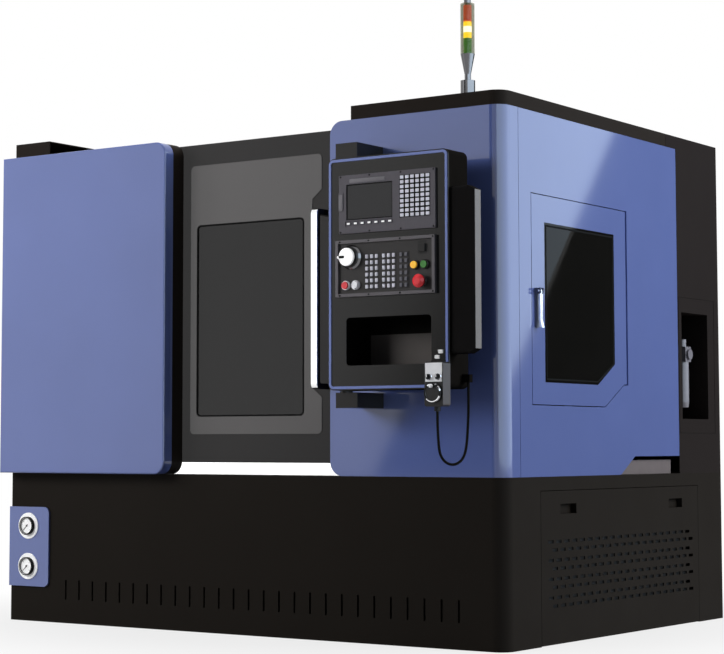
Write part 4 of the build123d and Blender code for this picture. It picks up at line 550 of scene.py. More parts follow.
def caps(surface: Surface, centres: Sequence[Place] | Array, cap: Cap) -> Shape:
    """Stand equal caps with soft top edges on a plane.

    The outline steps in as it rises, and closes to a point's width in the middle.

    Args:
        surface: The plane that they stand on.
        centres: Middle of each cap on the plane.
        cap: Their size.

    Returns:
        Points and faces.
    """
    loop, outward = rounded_loop(cap.width, cap.height, cap.radius, 3)
    # Steps of the rounded top edge: how far in, in millimetres, and at which share of the rise.
    inset = np.array([0.0, 0.0, 0.18, 0.55, cap.radius / MM])[:, None, None] * MM
    level = np.array([0.0, 0.72, 0.93, 1.0, 1.0])[:, None] * cap.rise
    ring = loop[None] - outward[None] * inset
    ring[-1] *= 0.02
    flat = np.array(centres, float)[:, None, None, :] + ring[None]
    points = surface.at(flat[..., 0], flat[..., 1], level[None])
    count, rows, columns = points.shape[:3]
    faces = lattice_faces(rows, columns, False, True)
    all_faces = faces[None] + (np.arange(count) * rows * columns)[:, None, None]
    return points.reshape(-1, 3), all_faces.reshape(-1, 4)


def grid_centres(centre: Place, pitch: Place, counts: tuple[int, int]) -> Array:
    """Middles of a grid of keys: steps of the pitch to both sides of the grid's middle.

    Args:
        centre: Middle of the grid.
        pitch: Steps across and up.
        counts: Columns and rows.

    Returns:
        One row per key.
    """
    across = (np.arange(counts[0]) - (counts[0] - 1) / 2) * pitch[0] + centre[0]
    up = (np.arange(counts[1]) - (counts[1] - 1) / 2) * pitch[1] + centre[1]
    return np.stack(np.meshgrid(across, up), axis=-1).reshape(-1, 2)


class Shop:
    """The machine's nodes and its finishes, each made once and shared."""

    def __init__(self, nodes: Mapping[str, Any], finishes: Sequence[Finish | Pane]) -> None:
        """Keep the CAD nodes, and build all finishes, each under a name of its own."""
        self.nodes = nodes
        self.made: dict[str, bpy.types.Material] = {finish.name: finish.build() for finish in finishes}

    def piece(self, name: str, shape: Shape, finish: str, body: str, slot: str) -> None:
        """Make a small part that rides on a body.

        Args:
            name: The part's name.
            shape: Its points and faces.
            finish: The finish's name.
            body: The body that it moves with.
            slot: The record's slot for the part. Not used.
        """
        mesh = bpy.data.meshes.new(name)
        mesh.from_pydata(shape[0].reshape(-1, 3).tolist(), [], shape[1].tolist())
        mesh.polygons.foreach_set("use_smooth", np.full(len(mesh.polygons), True))
        mesh.materials.append(self.made[finish])
        mesh.validate()
        mesh.update()
        piece = bpy.data.objects.new(name, mesh)
        bpy.context.scene.collection.objects.link(piece)
        mesh.set_sharp_from_angle(angle=SHARP_ANGLE)
        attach(piece, body)
        LOG.info("made %s of %s", name, finish)

    def dress(self, table: Mapping[str, Sequence[str]]) -> None:
        """Give CAD nodes their finishes.

        Args:
            table: Nodes by finish.
        """
        for finish, nodes in table.items():
            for node in nodes:
                mesh = self.nodes[node].data
                mesh.materials.clear()
                mesh.materials.append(self.made[finish])
                LOG.info("dressed %s in %s", node, finish)


@dataclass(frozen=True)
class Lamp:
    """Soft square lamp that gloss doesn't show."""

    name: str
    place: Point
    target: Point
    side: float
    watts: float


@dataclass(frozen=True)
class Card:
    """Bright or black card that gloss alone shows."""

    name: str
    colour: str
    glow: float
    corners: tuple[Point, ...]


@dataclass
class Studio:
    """Camera, lights, floor and white surroundings."""

    camera_place: Point = (4.5175, -6.6655, 0.6767)
    camera_yaw: float = 35.6489
    camera_pitch: float = 4.5412
    lens_mm: float = 101.457
    sensor_mm: float = 36.0
    shift: Place = (0.06663, -0.06105)
    sight: float = 100.0
    picture: tuple[int, int] = (724, 654)
    room_colour: str = "#d9dde6"
    room_glow: float = 0.12
    floor_colour: str = "#8c8c8e"
    floor_half: float = 30.0
    shadow_start: float = 1.0
    shadow_reach: float = 1.4
    shadow_depth: float = 0.2
    # Two lamps light the front, and one each the right side, the top and the back.
    lamps: tuple[Lamp, ...] = (
        Lamp("key", (-2.1, -4.6, 2.4), (-0.5, -0.8, 1.0), 2.0, 120.0),
        Lamp("left", (-6.0, -5.0, 3.6), (-0.4, -0.8, 0.9), 2.0, 164.0),
        Lamp("side", (6.0, 1.6, 3.0), (1.1, 0.2, 1.1), 3.0, 330.0),
        Lamp("top", (0.4, -0.2, 6.2), (0.4, 0.0, 1.5), 4.0, 220.0),
        Lamp("rear", (-3.6, 6.4, 3.2), (0.0, 0.6, 1.0), 3.0, 420.0),
    )
    # Black flags border the bright cards, so the glossy fronts mirror a slanting edge of light.
    cards: tuple[Card, ...] = (
        Card("front_flag", BLACK, 0.0, (
            (-13.0, -21.0, 0.18), (-10.2, -21.0, 5.5), (-8.6, -21.0, 8.5),
            (-2.0, -21.0, 8.5), (-2.0, -21.0, 0.18),
        )),
        Card("side_flag", BLACK, 0.0, (
            (6.78, 8.0, 0.03), (3.85, 8.0, 6.0), (-4.0, 8.0, 6.0), (-4.0, 8.0, 0.03),
        )),
        Card("front_card", WHITE, 1.7, (
            (-13.0, -21.0, 0.18), (-10.2, -21.0, 5.5), (-8.6, -21.0, 8.5),
            (-34.0, -21.0, 8.5), (-34.0, -21.0, 0.18),
        )),
        Card("side_card", "#dff0ff", 3.0, (
            (6.55, 8.0, 0.6), (14.0, 8.0, 0.6), (14.0, 8.0, 6.0), (3.85, 8.0, 6.0),
        )),
        Card("floor_card", WHITE, 1.7, (
            (-1.6, -1.8, 0.003), (-9.0, -14.0, 0.003), (-16.0, -14.0, 0.003), (-5.0, -1.8, 0.003),
        )),
        Card("corner_card", "#dff0ff", 4.2, (
            (9.0, 8.0, 0.5), (9.0, -16.0, 0.5), (9.0, -16.0, 7.0), (9.0, 8.0, 7.0),
        )),
    )

    def build_camera(self) -> None:
        """Set the camera up as the photograph's was."""
        data = bpy.data.cameras.new("camera")
        data.sensor_width = self.sensor_mm
        data.sensor_fit = "HORIZONTAL"
        data.lens = self.lens_mm
        data.shift_x, data.shift_y = self.shift
        data.clip_end = self.sight
        camera = bpy.data.objects.new("camera", data)
        camera.location = self.camera_place
        camera.rotation_euler = (math.radians(90 + self.camera_pitch), 0, math.radians(self.camera_yaw))
        scene = bpy.context.scene
        scene.collection.objects.link(camera)
        scene.camera = camera
        scene.render.resolution_x, scene.render.resolution_y = self.picture
        scene.view_settings.view_transform = "Standard"

    def add_lamp(self, lamp: Lamp) -> None:
        """Hang one soft lamp.

        Args:
            lamp: The lamp.
        """
        data = bpy.data.lights.new(lamp.name, "AREA")
        data.shape = "RECTANGLE"
        data.size = data.size_y = lamp.side
        data.energy = lamp.watts
        light = bpy.data.objects.new(lamp.name, data)
        light.location = lamp.place
        aim = Vector(lamp.target) - Vector(lamp.place)
        light.rotation_euler = aim.to_track_quat("-Z", "Y").to_euler()
        light.visible_glossy = False
        bpy.context.scene.collection.objects.link(light)

    def add_card(self, card: Card) -> None:
        """Stand one card where glossy faces mirror it.

        Args:
            card: The card.
        """
        mesh = bpy.data.meshes.new(card.name)
        mesh.from_pydata(list(card.corners), [], [tuple(range(len(card.corners)))])
        tree = Tree(bpy.data.materials.new(card.name))
        light = tree.add("ShaderNodeEmission", {"Color": srgb(card.colour), "Strength": card.glow})
        mesh.materials.append(tree.finish(light.outputs[0]))
        piece = bpy.data.objects.new(card.name, mesh)
        piece.visible_camera = piece.visible_diffuse = False
        piece.visible_shadow = piece.visible_transmission = False
        bpy.context.scene.collection.objects.link(piece)

    def build_world(self) -> None:
        """White surroundings for the camera, metal and glass, and a dimmer room for the light."""
        tree = Tree(bpy.data.worlds.new("studio"))
        room = tree.add("ShaderNodeBackground", {"Color": srgb(self.room_colour), "Strength": self.room_glow})
        white = tree.add("ShaderNodeBackground", {"Color": srgb(WHITE), "Strength": 1.0})
        mixed = tree.add("ShaderNodeMixShader", {0: tree.seen(), 1: room.outputs[0], 2: white.outputs[0]})
        bpy.context.scene.world = tree.finish(mixed.outputs[0], "ShaderNodeOutputWorld")

    def build_floor(self) -> None:
        """Lay a plain white floor that keeps the machine's soft shadow close to its feet.

        The camera sees white, less a share that fades with the distance from the middle.
        """
        half = self.floor_half
        corners = [(-half, -half, 0.0), (half, -half, 0.0), (half, half, 0.0), (-half, half, 0.0)]
        mesh = bpy.data.meshes.new("floor")
        mesh.from_pydata(corners, [], [(0, 1, 2, 3)])
        tree = Tree(bpy.data.materials.new("white floor"))
        away = tree.add("ShaderNodeVectorMath", {0: tree.place}, operation="LENGTH").outputs["Value"]
        fade = {0: away, 1: self.shadow_start, 2: self.shadow_start + self.shadow_reach,
                3: 1.0 - self.shadow_depth, 4: 1.0}
        near = tree.add("ShaderNodeMapRange", fade, interpolation_type="SMOOTHSTEP").outputs[0]
        share = tree.add("ShaderNodeMath", {0: tree.seen(), 1: near}, operation="MULTIPLY").outputs[0]
        paper = tree.add("ShaderNodeBsdfDiffuse", {"Color": tree.toned(self.floor_colour, 0.01, 900.0)})
        glow = tree.add("ShaderNodeEmission", {"Color": srgb(WHITE), "Strength": 1.0})
        mixed = tree.add("ShaderNodeMixShader", {0: share, 1: paper.outputs[0], 2: glow.outputs[0]})
        mesh.materials.append(tree.finish(mixed.outputs[0]))
        floor = bpy.data.objects.new("floor", mesh)
        bpy.context.scene.collection.objects.link(floor)

    def build(self) -> None:
        """Set up the lamps, the cards, the surroundings and the floor."""
        for lamp in self.lamps:
            self.add_lamp(lamp)
        for card in self.cards:
            self.add_card(card)
        self.build_world()
        self.build_floor()


@dataclass
class HandUnit:
    """Hand-held unit with its wheel, selectors and hanging cord."""

    shop: Shop
    relief: Point = (0.994, -1.0675, 0.785)
    elbow: Point = (1.042, -0.953, 0.880)
    drop: float = 0.172
    cord_diameter: float = 0.009
    cord_length: float = 0.4993
    fall_shares: tuple[Place, ...] = (
        (0.0, 1.0), (0.0, 0.797), (0.012, 0.593), (0.032, 0.401), (0.064, 0.217), (0.175, 0.080),
        (0.365, 0.0),
    )
    rise_shares: tuple[Place, ...] = (
        (0.585, 0.0), (0.775, 0.0513), (0.886, 0.140), (0.934, 0.258), (0.962, 0.390), (0.982, 0.524),
        (0.994, 0.660), (0.998, 0.787), (1.0, 0.900), (1.0, 1.0),
    )
    front_y: float = -1.090
    centre_x: float = 0.994
    low_z: float = 0.800
    wheel_z: float = 0.844
    wheel_radius: float = 0.031
    # Angles of the chrome arcs on the wheel's ring, set where it shows glints: painted highlight.
    highlight_sweeps: tuple[Place, ...] = ((222.0, 338.0), (12.0, 46.0), (60.0, 70.0), (110.0, 128.0))
    crank_z: float = 0.866
    crank_front: float = 0.0213
    selector_z: float = 0.896
    selector_offset: float = 0.018
    selector_front: float = 0.0143
    mark_z: float = 0.899
    mark: Cap = Cap(0.0024, 0.0090, 0.0008, 0.0006)
    clip_y: float = -1.040
    clip_places: tuple[Place, ...] = ((0.995, 0.979), (0.982, 0.9615))
    clip: Cap = Cap(0.018, 0.0125, 0.010, 0.002)
    rib_depths: tuple[float, ...] = (0.0035, 0.0075, 0.0115)

    def route(self) -> Array:
        """Points that the cord passes, from the relief down and up to the elbow.

        The shares go along the straight way to the elbow, and up from the cord's lowest place.

        Returns:
            The points.
        """
        low = self.relief[2] - self.drop
        fall, rise = np.array(self.fall_shares), np.array(self.rise_shares)
        along = np.concatenate([fall[:, 0], rise[:, 0]])
        fall_height = low + fall[:, 1] * (self.relief[2] - low)
        rise_height = low + rise[:, 1] * (self.elbow[2] - low)
        start, end = np.array(self.relief[:2]), np.array(self.elbow[:2])
        level = start + along[:, None] * (end - start)
        return np.column_stack([level, np.concatenate([fall_height, rise_height])])

    def build_cord(self) -> None:
        """Hang the cord."""
        points = self.route()
        data = bpy.data.curves.new("hanging_cord", "CURVE")
        data.dimensions = "3D"
        data.bevel_depth = self.cord_diameter / 2
        data.bevel_resolution = 5
        data.resolution_u = 8
        data.use_fill_caps = True
        spline = data.splines.new("NURBS")
        spline.points.add(len(points) - 1)
        spline.points.foreach_set("co", np.column_stack([points, np.ones(len(points))]).ravel())
        spline.order_u = 3
        spline.use_endpoint_u = True
        data.materials.append(self.shop.made["cord rubber"])
        cord = bpy.data.objects.new("hanging_cord", data)
        bpy.context.scene.collection.objects.link(cord)
        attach(cord, "pendant")
        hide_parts("hand_unit_cord")
        LOG.info("hung hanging_cord")

    def dress(self) -> None:
        """Give the unit its finishes and small parts."""
        self.shop.dress({
            "hand plastic": ("hand_unit_case",),
            "knob plastic": ("handwheel", "axis_selector", "rate_selector"),
        })
        front = facing_front(self.front_y)
        wheel, rim = (self.centre_x, self.wheel_z), self.wheel_radius
        ring = [(rim + 0.0003, 0.002), (rim + 0.0003, 0.0085), (rim - 0.0015, 0.0108),
                (rim - 0.0040, 0.0110), (rim - 0.0046, 0.0098)]
        wheel_rim = turned(front, wheel, ring, 64)
        self.shop.piece("wheel_rim", wheel_rim, "black oxide", "handwheel", "knob_plastic")
        # Bright chrome arcs on the dark ring, only where it shows glints: painted highlight.
        band = [(rim + 0.0006, 0.0078), (rim - 0.0010, 0.0112), (rim - 0.0036, 0.0116),
                (rim - 0.0044, 0.0104)]
        arcs = [turned(front, wheel, band, 24, sweep) for sweep in self.highlight_sweeps]
        self.shop.piece("wheel_highlight_arcs", join(arcs), "chrome", "handwheel", "chrome")
        tip = self.crank_front
        crank = [(0.0062, tip - 0.006), (0.0062, tip), (0.0050, tip + 0.0010), (HUB, tip + 0.0012)]
        crank_cap = turned(front, (self.centre_x, self.crank_z), crank, 32)
        self.shop.piece("crank_cap", crank_cap, "white plastic", "handwheel", "white_plastic")
        top = facing_front(self.front_y - self.selector_front)
        collar = [(0.0115, 0.0), (0.0115, 0.0016), (0.0105, 0.0026), (0.0092, 0.0026), (0.0092, 0.0)]
        for side, body in ((-1, "axis_selector"), (1, "rate_selector")):
            x = self.centre_x + side * self.selector_offset
            mark = caps(top, [(x, self.mark_z)], self.mark)
            self.shop.piece(f"{body}_mark", mark, "white plastic", body, "white_plastic")
            ringed = turned(front, (x, self.selector_z), collar, 40)
            self.shop.piece(f"{body}_collar", ringed, "chrome", "pendant", "chrome")
        clips = caps(facing_front(self.clip_y), self.clip_places, self.clip)
        self.shop.piece("holder_clips", clips, "white enamel", "pendant", "white_plastic")
        rib = [(0.0098, -0.0016), (0.0112, -0.0012), (0.0112, 0.0), (0.0098, 0.0004)]
        ribs = [turned(facing_up(self.low_z - depth), self.relief[:2], rib, 32) for depth in self.rib_depths]
        self.shop.piece("relief_ribs", join(ribs), "cord rubber", "pendant", "cord_rubber")


@dataclass
class Gauges:
    """Two pressure gauges on the blue plate."""

    shop: Shop
    centre_x: float = -1.013
    centre_zs: Place = (0.365, 0.210)
    flange_y: float = -0.852
    dial_y: float = -0.859
    dial_radius: float = 0.0297
    ticks: int = 28
    first_angle: float = 225.0
    sweep: float = 270.0
    long_every: int = 9
    # Inner radius and half width of each kind of tick, and the outer radius of both.
    long_tick: Place = (0.0195, 0.0008)
    fine_tick: Place = (0.0232, 0.0005)
    tick_end: float = 0.0272
    ink: float = 0.00016

    def marks(self, centre_z: float) -> Shape:
        """Scale of one dial: fine ticks, and longer ones at each third.

        Each tick is a bar along its own radius, half its width to both sides.

        Args:
            centre_z: Height of the dial's middle.

        Returns:
            Points and faces.
        """
        angle = np.radians(self.first_angle - np.linspace(0, self.sweep, self.ticks))
        outward = np.stack([np.cos(angle), np.sin(angle)], axis=1)
        aside = np.stack([-np.sin(angle), np.cos(angle)], axis=1)
        is_long = (np.arange(self.ticks) % self.long_every == 0)[:, None, None]
        inner, half = (np.where(is_long, *pair) for pair in zip(self.long_tick, self.fine_tick))
        reach = np.concatenate([inner, np.full_like(inner, self.tick_end)], axis=1)[:, [0, 1, 1, 0]]
        side = np.array([-1, -1, 1, 1])[None, :, None] * half
        flat = outward[:, None] * reach + aside[:, None] * side + np.array([self.centre_x, centre_z])
        points = facing_front(self.dial_y).at(flat[..., 0], flat[..., 1], self.ink)
        return points.reshape(-1, 3), np.arange(self.ticks * 4).reshape(-1, 4)

    def dress(self) -> None:
        """Give the gauges their finishes, dials, bezels and glasses."""
        self.shop.dress({
            "blue paint": ("gauge_plate",),
            "gauge plastic": ("pressure_gauges",),
            "needle enamel": ("upper_needle", "lower_needle"),
        })
        face, flange = facing_front(self.dial_y), facing_front(self.flange_y)
        places = [(self.centre_x, z) for z in self.centre_zs]
        dial = [(0.0018, 0.0001), (self.dial_radius, 0.0001)]
        bezel = [(0.0346, 0.0), (0.0346, 0.0136), (0.0336, 0.0148), (0.0312, 0.0148), (0.0299, 0.0132),
                 (0.0299, 0.0075)]
        edge = [(0.0299, 0.0002), (0.0299, 0.0030), (0.0282, 0.0004), (0.0282, 0.00015)]
        glass = [(HUB, 0.0134), (0.0299, 0.0134)]
        pieces = (
            ("gauge_dials", turned_each(face, places, dial, 64), "gauge plastic", "white_plastic"),
            ("gauge_scales", join([self.marks(z) for z in self.centre_zs]), "needle enamel", "needle_black"),
            ("gauge_bezels", turned_each(flange, places, bezel, 64), "black oxide", "knob_plastic"),
            ("dial_edges", turned_each(face, places, edge, 64), "knob plastic", "knob_plastic"),
            ("gauge_glasses", turned_each(flange, places, glass, 48), "gauge glass", "lens_clear"),
        )
        for name, shape, finish, slot in pieces:
            self.shop.piece(name, shape, finish, "frame", slot)


@dataclass
class Enclosure:
    """Sheet metal round the machine, its doors and its tower light."""

    shop: Shop
    window_middle: Place = (0.0195, 1.134)
    window_size: Place = (0.485, 0.704)
    window_radius: float = 0.015
    plate_y: float = -0.795
    pane_corners: tuple[Place, ...] = (
        (-0.552, 0.899), (-0.181, 0.899), (-0.060, 0.966), (-0.060, 1.426), (-0.552, 1.426),
    )
    side_x: float = 1.110
    rear_y: float = 0.843
    lock_xs: Place = (-0.068, 0.068)
    lock_zs: tuple[float, ...] = (0.760, 1.2145, 1.669)
    hinge_xs: Place = (-1.052, 1.052)
    hinge_zs: Place = (0.780, 1.585)

    def dress(self) -> None:
        """Give the panels their finishes."""
        self.shop.dress({
            "base paint": ("base_cabinet", "tank_panel"),
            "cap paint": ("left_end_cover", "headstock_cover", "top_cap", "roof_panel"),
            "rear paint": ("rear_cabinet",),
            "blue paint": ("left_front_panel", "right_column", "side_panel", "side_door"),
            "sill steel": ("sill_strips",),
            "door paint": ("main_door", "pendant_brackets"),
            "plate paint": ("door_plate",),
            "door pane": ("door_window",),
            "handle aluminium": ("door_handle",),
            "side pane": ("side_window",),
            "lever plastic": ("lever_base",),
            "chrome": ("door_lever",),
            "filter plastic": ("air_filter",),
            "tower steel": ("tower_body",),
            "lens acrylic": ("tower_lens",),
            "lamp plastic": ("tower_lamps",),
        })
        # The door mirrors the studio alone, not the panels beside it.
        for node in ("left_front_panel", "headstock_cover"):
            self.shop.nodes[node].visible_glossy = False
        lip = [(-0.0035, -0.0015), (-0.0035, 0.0008), (-0.0008, 0.0018), (0.0022, 0.0012), (0.0022, -0.0015)]
        loop, outward = rounded_loop(*self.window_size, self.window_radius, 8)
        door_seal = framed(facing_front(self.plate_y), loop, outward, lip, self.window_middle)
        self.shop.piece("door_window_seal", door_seal, "seal rubber", "work_door", "cord_rubber")
        loop, outward = polygon_loop(self.pane_corners)
        side_seal = framed(facing_side(self.side_x), loop, outward, lip, (0.0, 0.0))
        self.shop.piece("side_window_seal", side_seal, "seal rubber", "side_door", "cord_rubber")
        self.add_rear_fittings()

    def add_rear_fittings(self) -> None:
        """Add locks and hinges to the two doors at the back."""
        lock = [(HUB, 0.0012), (0.0055, 0.0012), (0.0060, 0.0036), (0.0120, 0.0038), (0.0132, 0.0026),
                (0.0132, -0.0015)]
        places = [(-x, z) for x in self.lock_xs for z in self.lock_zs]
        locks = turned_each(facing_rear(self.rear_y), places, lock, 32)
        self.shop.piece("rear_locks", locks, "chrome", "frame", "knob_plastic")
        knuckle = [(HUB, 0.0), (0.0060, 0.0), (0.0070, 0.0010), (0.0070, 0.0330), (0.0062, 0.0338),
                   (0.0062, 0.0352), (0.0070, 0.0360), (0.0070, 0.0690), (0.0060, 0.0700), (HUB, 0.0700)]
        hinges = [turned(facing_up(z), (x, self.rear_y), knuckle, 24)
                  for x in self.hinge_xs for z in self.hinge_zs]
        self.shop.piece("rear_hinges", join(hinges), "black oxide", "frame", "knob_plastic")


@dataclass
class Interior:
    """Machine inside the work chamber and the tank bay."""

    shop: Shop
    axis: Place = (-0.330, 1.060)
    chuck_face_x: float = -0.2147
    screw_circle: float = 0.088
    screw_angles: tuple[float, ...] = (10.0, 50.0, 130.0, 170.0, 250.0, 290.0)

    def dress(self) -> None:
        """Give the inner pieces their finishes, and the chuck its screws on a circle."""
        self.shop.dress({
            "liner steel": ("chamber_liner",),
            "casting paint": ("slant_bed", "headstock", "saddle", "cross_slide"),
            "ground steel": ("spindle", "chuck_body", "chuck_jaw_1", "chuck_jaw_2", "chuck_jaw_3",
                             "turret_disc", "tool_holders"),
            "tank paint": ("coolant_tank",),
            "pump paint": ("coolant_pump",),
        })
        angle = np.radians(self.screw_angles)
        places = np.array(self.axis) + self.screw_circle * np.stack([np.cos(angle), np.sin(angle)], axis=1)
        socket = [(HUB, -0.0010), (0.0034, -0.0010), (0.0036, 0.0012), (0.0062, 0.0014), (0.0066, 0.0006),
                  (0.0066, -0.0020)]
        screws = turned_each(facing_side(self.chuck_face_x), places.tolist(), socket, 24)
        self.shop.piece("chuck_screws", screws, "black oxide", "spindle", "knob_plastic")


@dataclass
class Pendant:
    """Control pendant with its screen, keys, knob and buttons."""

    shop: Shop
    mat_y: float = -1.0455
    key_middle: Place = (0.8975, 1.497)
    key_pitch: Place = (0.121 / 6, 0.142 / 9)
    key_counts: tuple[int, int] = (6, 9)
    key: Cap = Cap(0.0142, 0.0110, 0.0038, 0.0014)
    soft_middle: Place = (0.716, 1.418)
    soft_pitch: float = 0.0278
    soft_counts: tuple[int, int] = (7, 1)
    soft_key: Cap = Cap(0.0125, 0.0062, 0.0038, 0.0012)
    panel_mat_y: float = -1.0475
    panel_key_xs: Point = (0.7265, 0.7945, 0.8535)
    panel_key_columns: tuple[int, int, int] = (3, 3, 2)
    panel_key_rows: int = 6
    panel_key_pitch: Place = (0.0195, 0.0202)
    panel_key_z: float = 1.253
    panel_key: Cap = Cap(0.0106, 0.0126, 0.0037, 0.0014)
    unit_y: float = -1.048
    screw_xs: tuple[float, ...] = (0.600, 0.717, 0.842, 0.970)
    unit_screw_zs: Place = (1.390, 1.578)
    panel_y: float = -1.054
    panel_floor_y: float = -1.046
    panel_screw_zs: Place = (1.1765, 1.3565)
    screen_middle: Place = (0.716, 1.4905)
    screen_size: Place = (0.186, 0.121)
    screen_radius: float = 0.0025
    strip_middle: Place = (0.708, 1.562)
    strip: Cap = Cap(0.142, 0.0125, 0.0012, 0.002)
    cover_y: float = -1.050
    cover_middle: Place = (0.602, 1.490)
    cover: Cap = Cap(0.0165, 0.0555, 0.0012, 0.002)
    knob: Place = (0.642, 1.304)
    knob_back_y: float = -1.0463
    knob_radius: float = 0.030
    knob_height: float = 0.030
    # How far out of the knob's back the pointer and the tab stand, and how far left of its axis.
    pointer_at: Place = (0.0322, 0.0175)
    pointer: Cap = Cap(0.021, 0.0085, 0.0016, 0.0012)
    tab_at: Place = (0.020, 0.0335)
    tab: Cap = Cap(0.011, 0.0085, 0.0085, 0.0018)
    ringed_buttons: tuple[Place, ...] = ((0.623, 1.210), (0.663, 1.210))
    dark_buttons: tuple[Place, ...] = ((0.898, 1.266), (0.937, 1.266))

    def dress(self) -> None:
        """Give the pendant its finishes and small parts."""
        self.shop.dress({
            "pendant paint": ("pendant_case",),
            "grip paint": ("pendant_grip",),
            "trim paint": ("pendant_trim",),
            "bezel plastic": ("control_unit",),
            "screen glass": ("screen",),
            "mat rubber": ("keypads",),
            "panel plastic": ("operator_panel",),
            "knob plastic": ("override_knob",),
            "stop plastic": ("stop_button",),
            "red plastic": ("red_button",),
            "white plastic": ("white_button",),
            "yellow plastic": ("yellow_button",),
            "green plastic": ("green_button",),
        })
        self.add_keys()
        self.add_fittings()
        self.add_knob()

    def add_keys(self) -> None:
        """Cap the rubber keys."""
        mat, panel = facing_front(self.mat_y), facing_front(self.panel_mat_y)
        data = caps(mat, grid_centres(self.key_middle, self.key_pitch, self.key_counts), self.key)
        self.shop.piece("data_key_caps", data, "key plastic", "pendant", "key_plastic")
        soft_pitch = (self.soft_pitch, self.soft_pitch)
        soft = caps(mat, grid_centres(self.soft_middle, soft_pitch, self.soft_counts), self.soft_key)
        self.shop.piece("soft_key_caps", soft, "white key plastic", "pendant", "key_plastic")
        kinds = (("left", "grey key plastic"), ("middle", "grey key plastic"), ("right", "dim key plastic"))
        for x, columns, (where, finish) in zip(self.panel_key_xs, self.panel_key_columns, kinds):
            counts = (columns, self.panel_key_rows)
            centres = grid_centres((x, self.panel_key_z), self.panel_key_pitch, counts)
            keys = caps(panel, centres, self.panel_key)
            self.shop.piece(f"panel_key_caps_{where}", keys, finish, "pendant", "key_plastic")

    def add_fittings(self) -> None:
        """Add screws, the strip over the screen, its frame and the buttons' rings."""
        head = [(HUB, 0.0004), (0.0014, 0.0004), (0.0016, 0.0011), (0.0029, 0.0010), (0.0034, 0.0003),
                (0.0034, -0.001)]
        rows = [(self.unit_y, z) for z in self.unit_screw_zs]
        rows += [(self.panel_y, z) for z in self.panel_screw_zs]
        screws = [turned(facing_front(y), (x, z), head, 20) for y, z in rows for x in self.screw_xs]
        self.shop.piece("panel_screws", join(screws), "seal rubber", "pendant", "knob_plastic")
        strip = caps(facing_front(self.unit_y), [self.strip_middle], self.strip)
        self.shop.piece("screen_strip", strip, "strip plastic", "pendant", "bezel_plastic")
        cover = caps(facing_front(self.cover_y), [self.cover_middle], self.cover)
        self.shop.piece("slot_cover", cover, "strip plastic", "pendant", "bezel_plastic")
        edge = [(-0.0002, 0.0), (-0.0002, 0.0024), (-0.0030, 0.0018), (-0.0036, 0.0002), (-0.0036, 0.0)]
        loop, outward = rounded_loop(*self.screen_size, self.screen_radius, 4)
        border = framed(facing_front(self.mat_y), loop, outward, edge, self.screen_middle)
        self.shop.piece("screen_frame", border, "black oxide", "pendant", "knob_plastic")
        ring = [(0.0157, 0.0), (0.0157, 0.0086), (0.0148, 0.0098), (0.0134, 0.0098), (0.0127, 0.0086),
                (0.0127, 0.0060)]
        floor = facing_front(self.panel_floor_y)
        for name, places, finish, slot in (("ringed", self.ringed_buttons, "white plastic", "white_plastic"),
                                           ("dark", self.dark_buttons, "knob plastic", "knob_plastic")):
            collars = turned_each(floor, places, ring, 40)
            self.shop.piece(f"{name}_button_collars", collars, finish, "pendant", slot)

    def add_knob(self) -> None:
        """Face the override knob: white disc, black pointer and a bright skirt."""
        back, (x, z), radius = self.knob_back_y, self.knob, self.knob_radius
        face = [(radius + 0.0003, -0.005), (radius + 0.0003, 0.0006), (radius - 0.0012, 0.0022),
                (HUB, 0.0026)]
        disc = turned(facing_front(back - self.knob_height), self.knob, face, 64)
        self.shop.piece("knob_face", disc, "knob disc plastic", "override_knob", "white_plastic")
        cone = [(0.0414, 0.0002), (0.0414, 0.0026), (0.0404, 0.0036), (0.0352, 0.0090), (0.0344, 0.0086)]
        skirt = turned(facing_front(back), self.knob, cone, 64)
        self.shop.piece("knob_skirt", skirt, "tower steel", "override_knob", "chrome")
        out, left = self.pointer_at
        pointer = caps(facing_front(back - out), [(x - left, z)], self.pointer)
        self.shop.piece("knob_pointer", pointer, "black oxide", "override_knob", "knob_plastic")
        out, left = self.tab_at
        tab = caps(facing_front(back - out), [(x - left, z)], self.tab)
        self.shop.piece("knob_tab", tab, "knob disc plastic", "override_knob", "white_plastic")


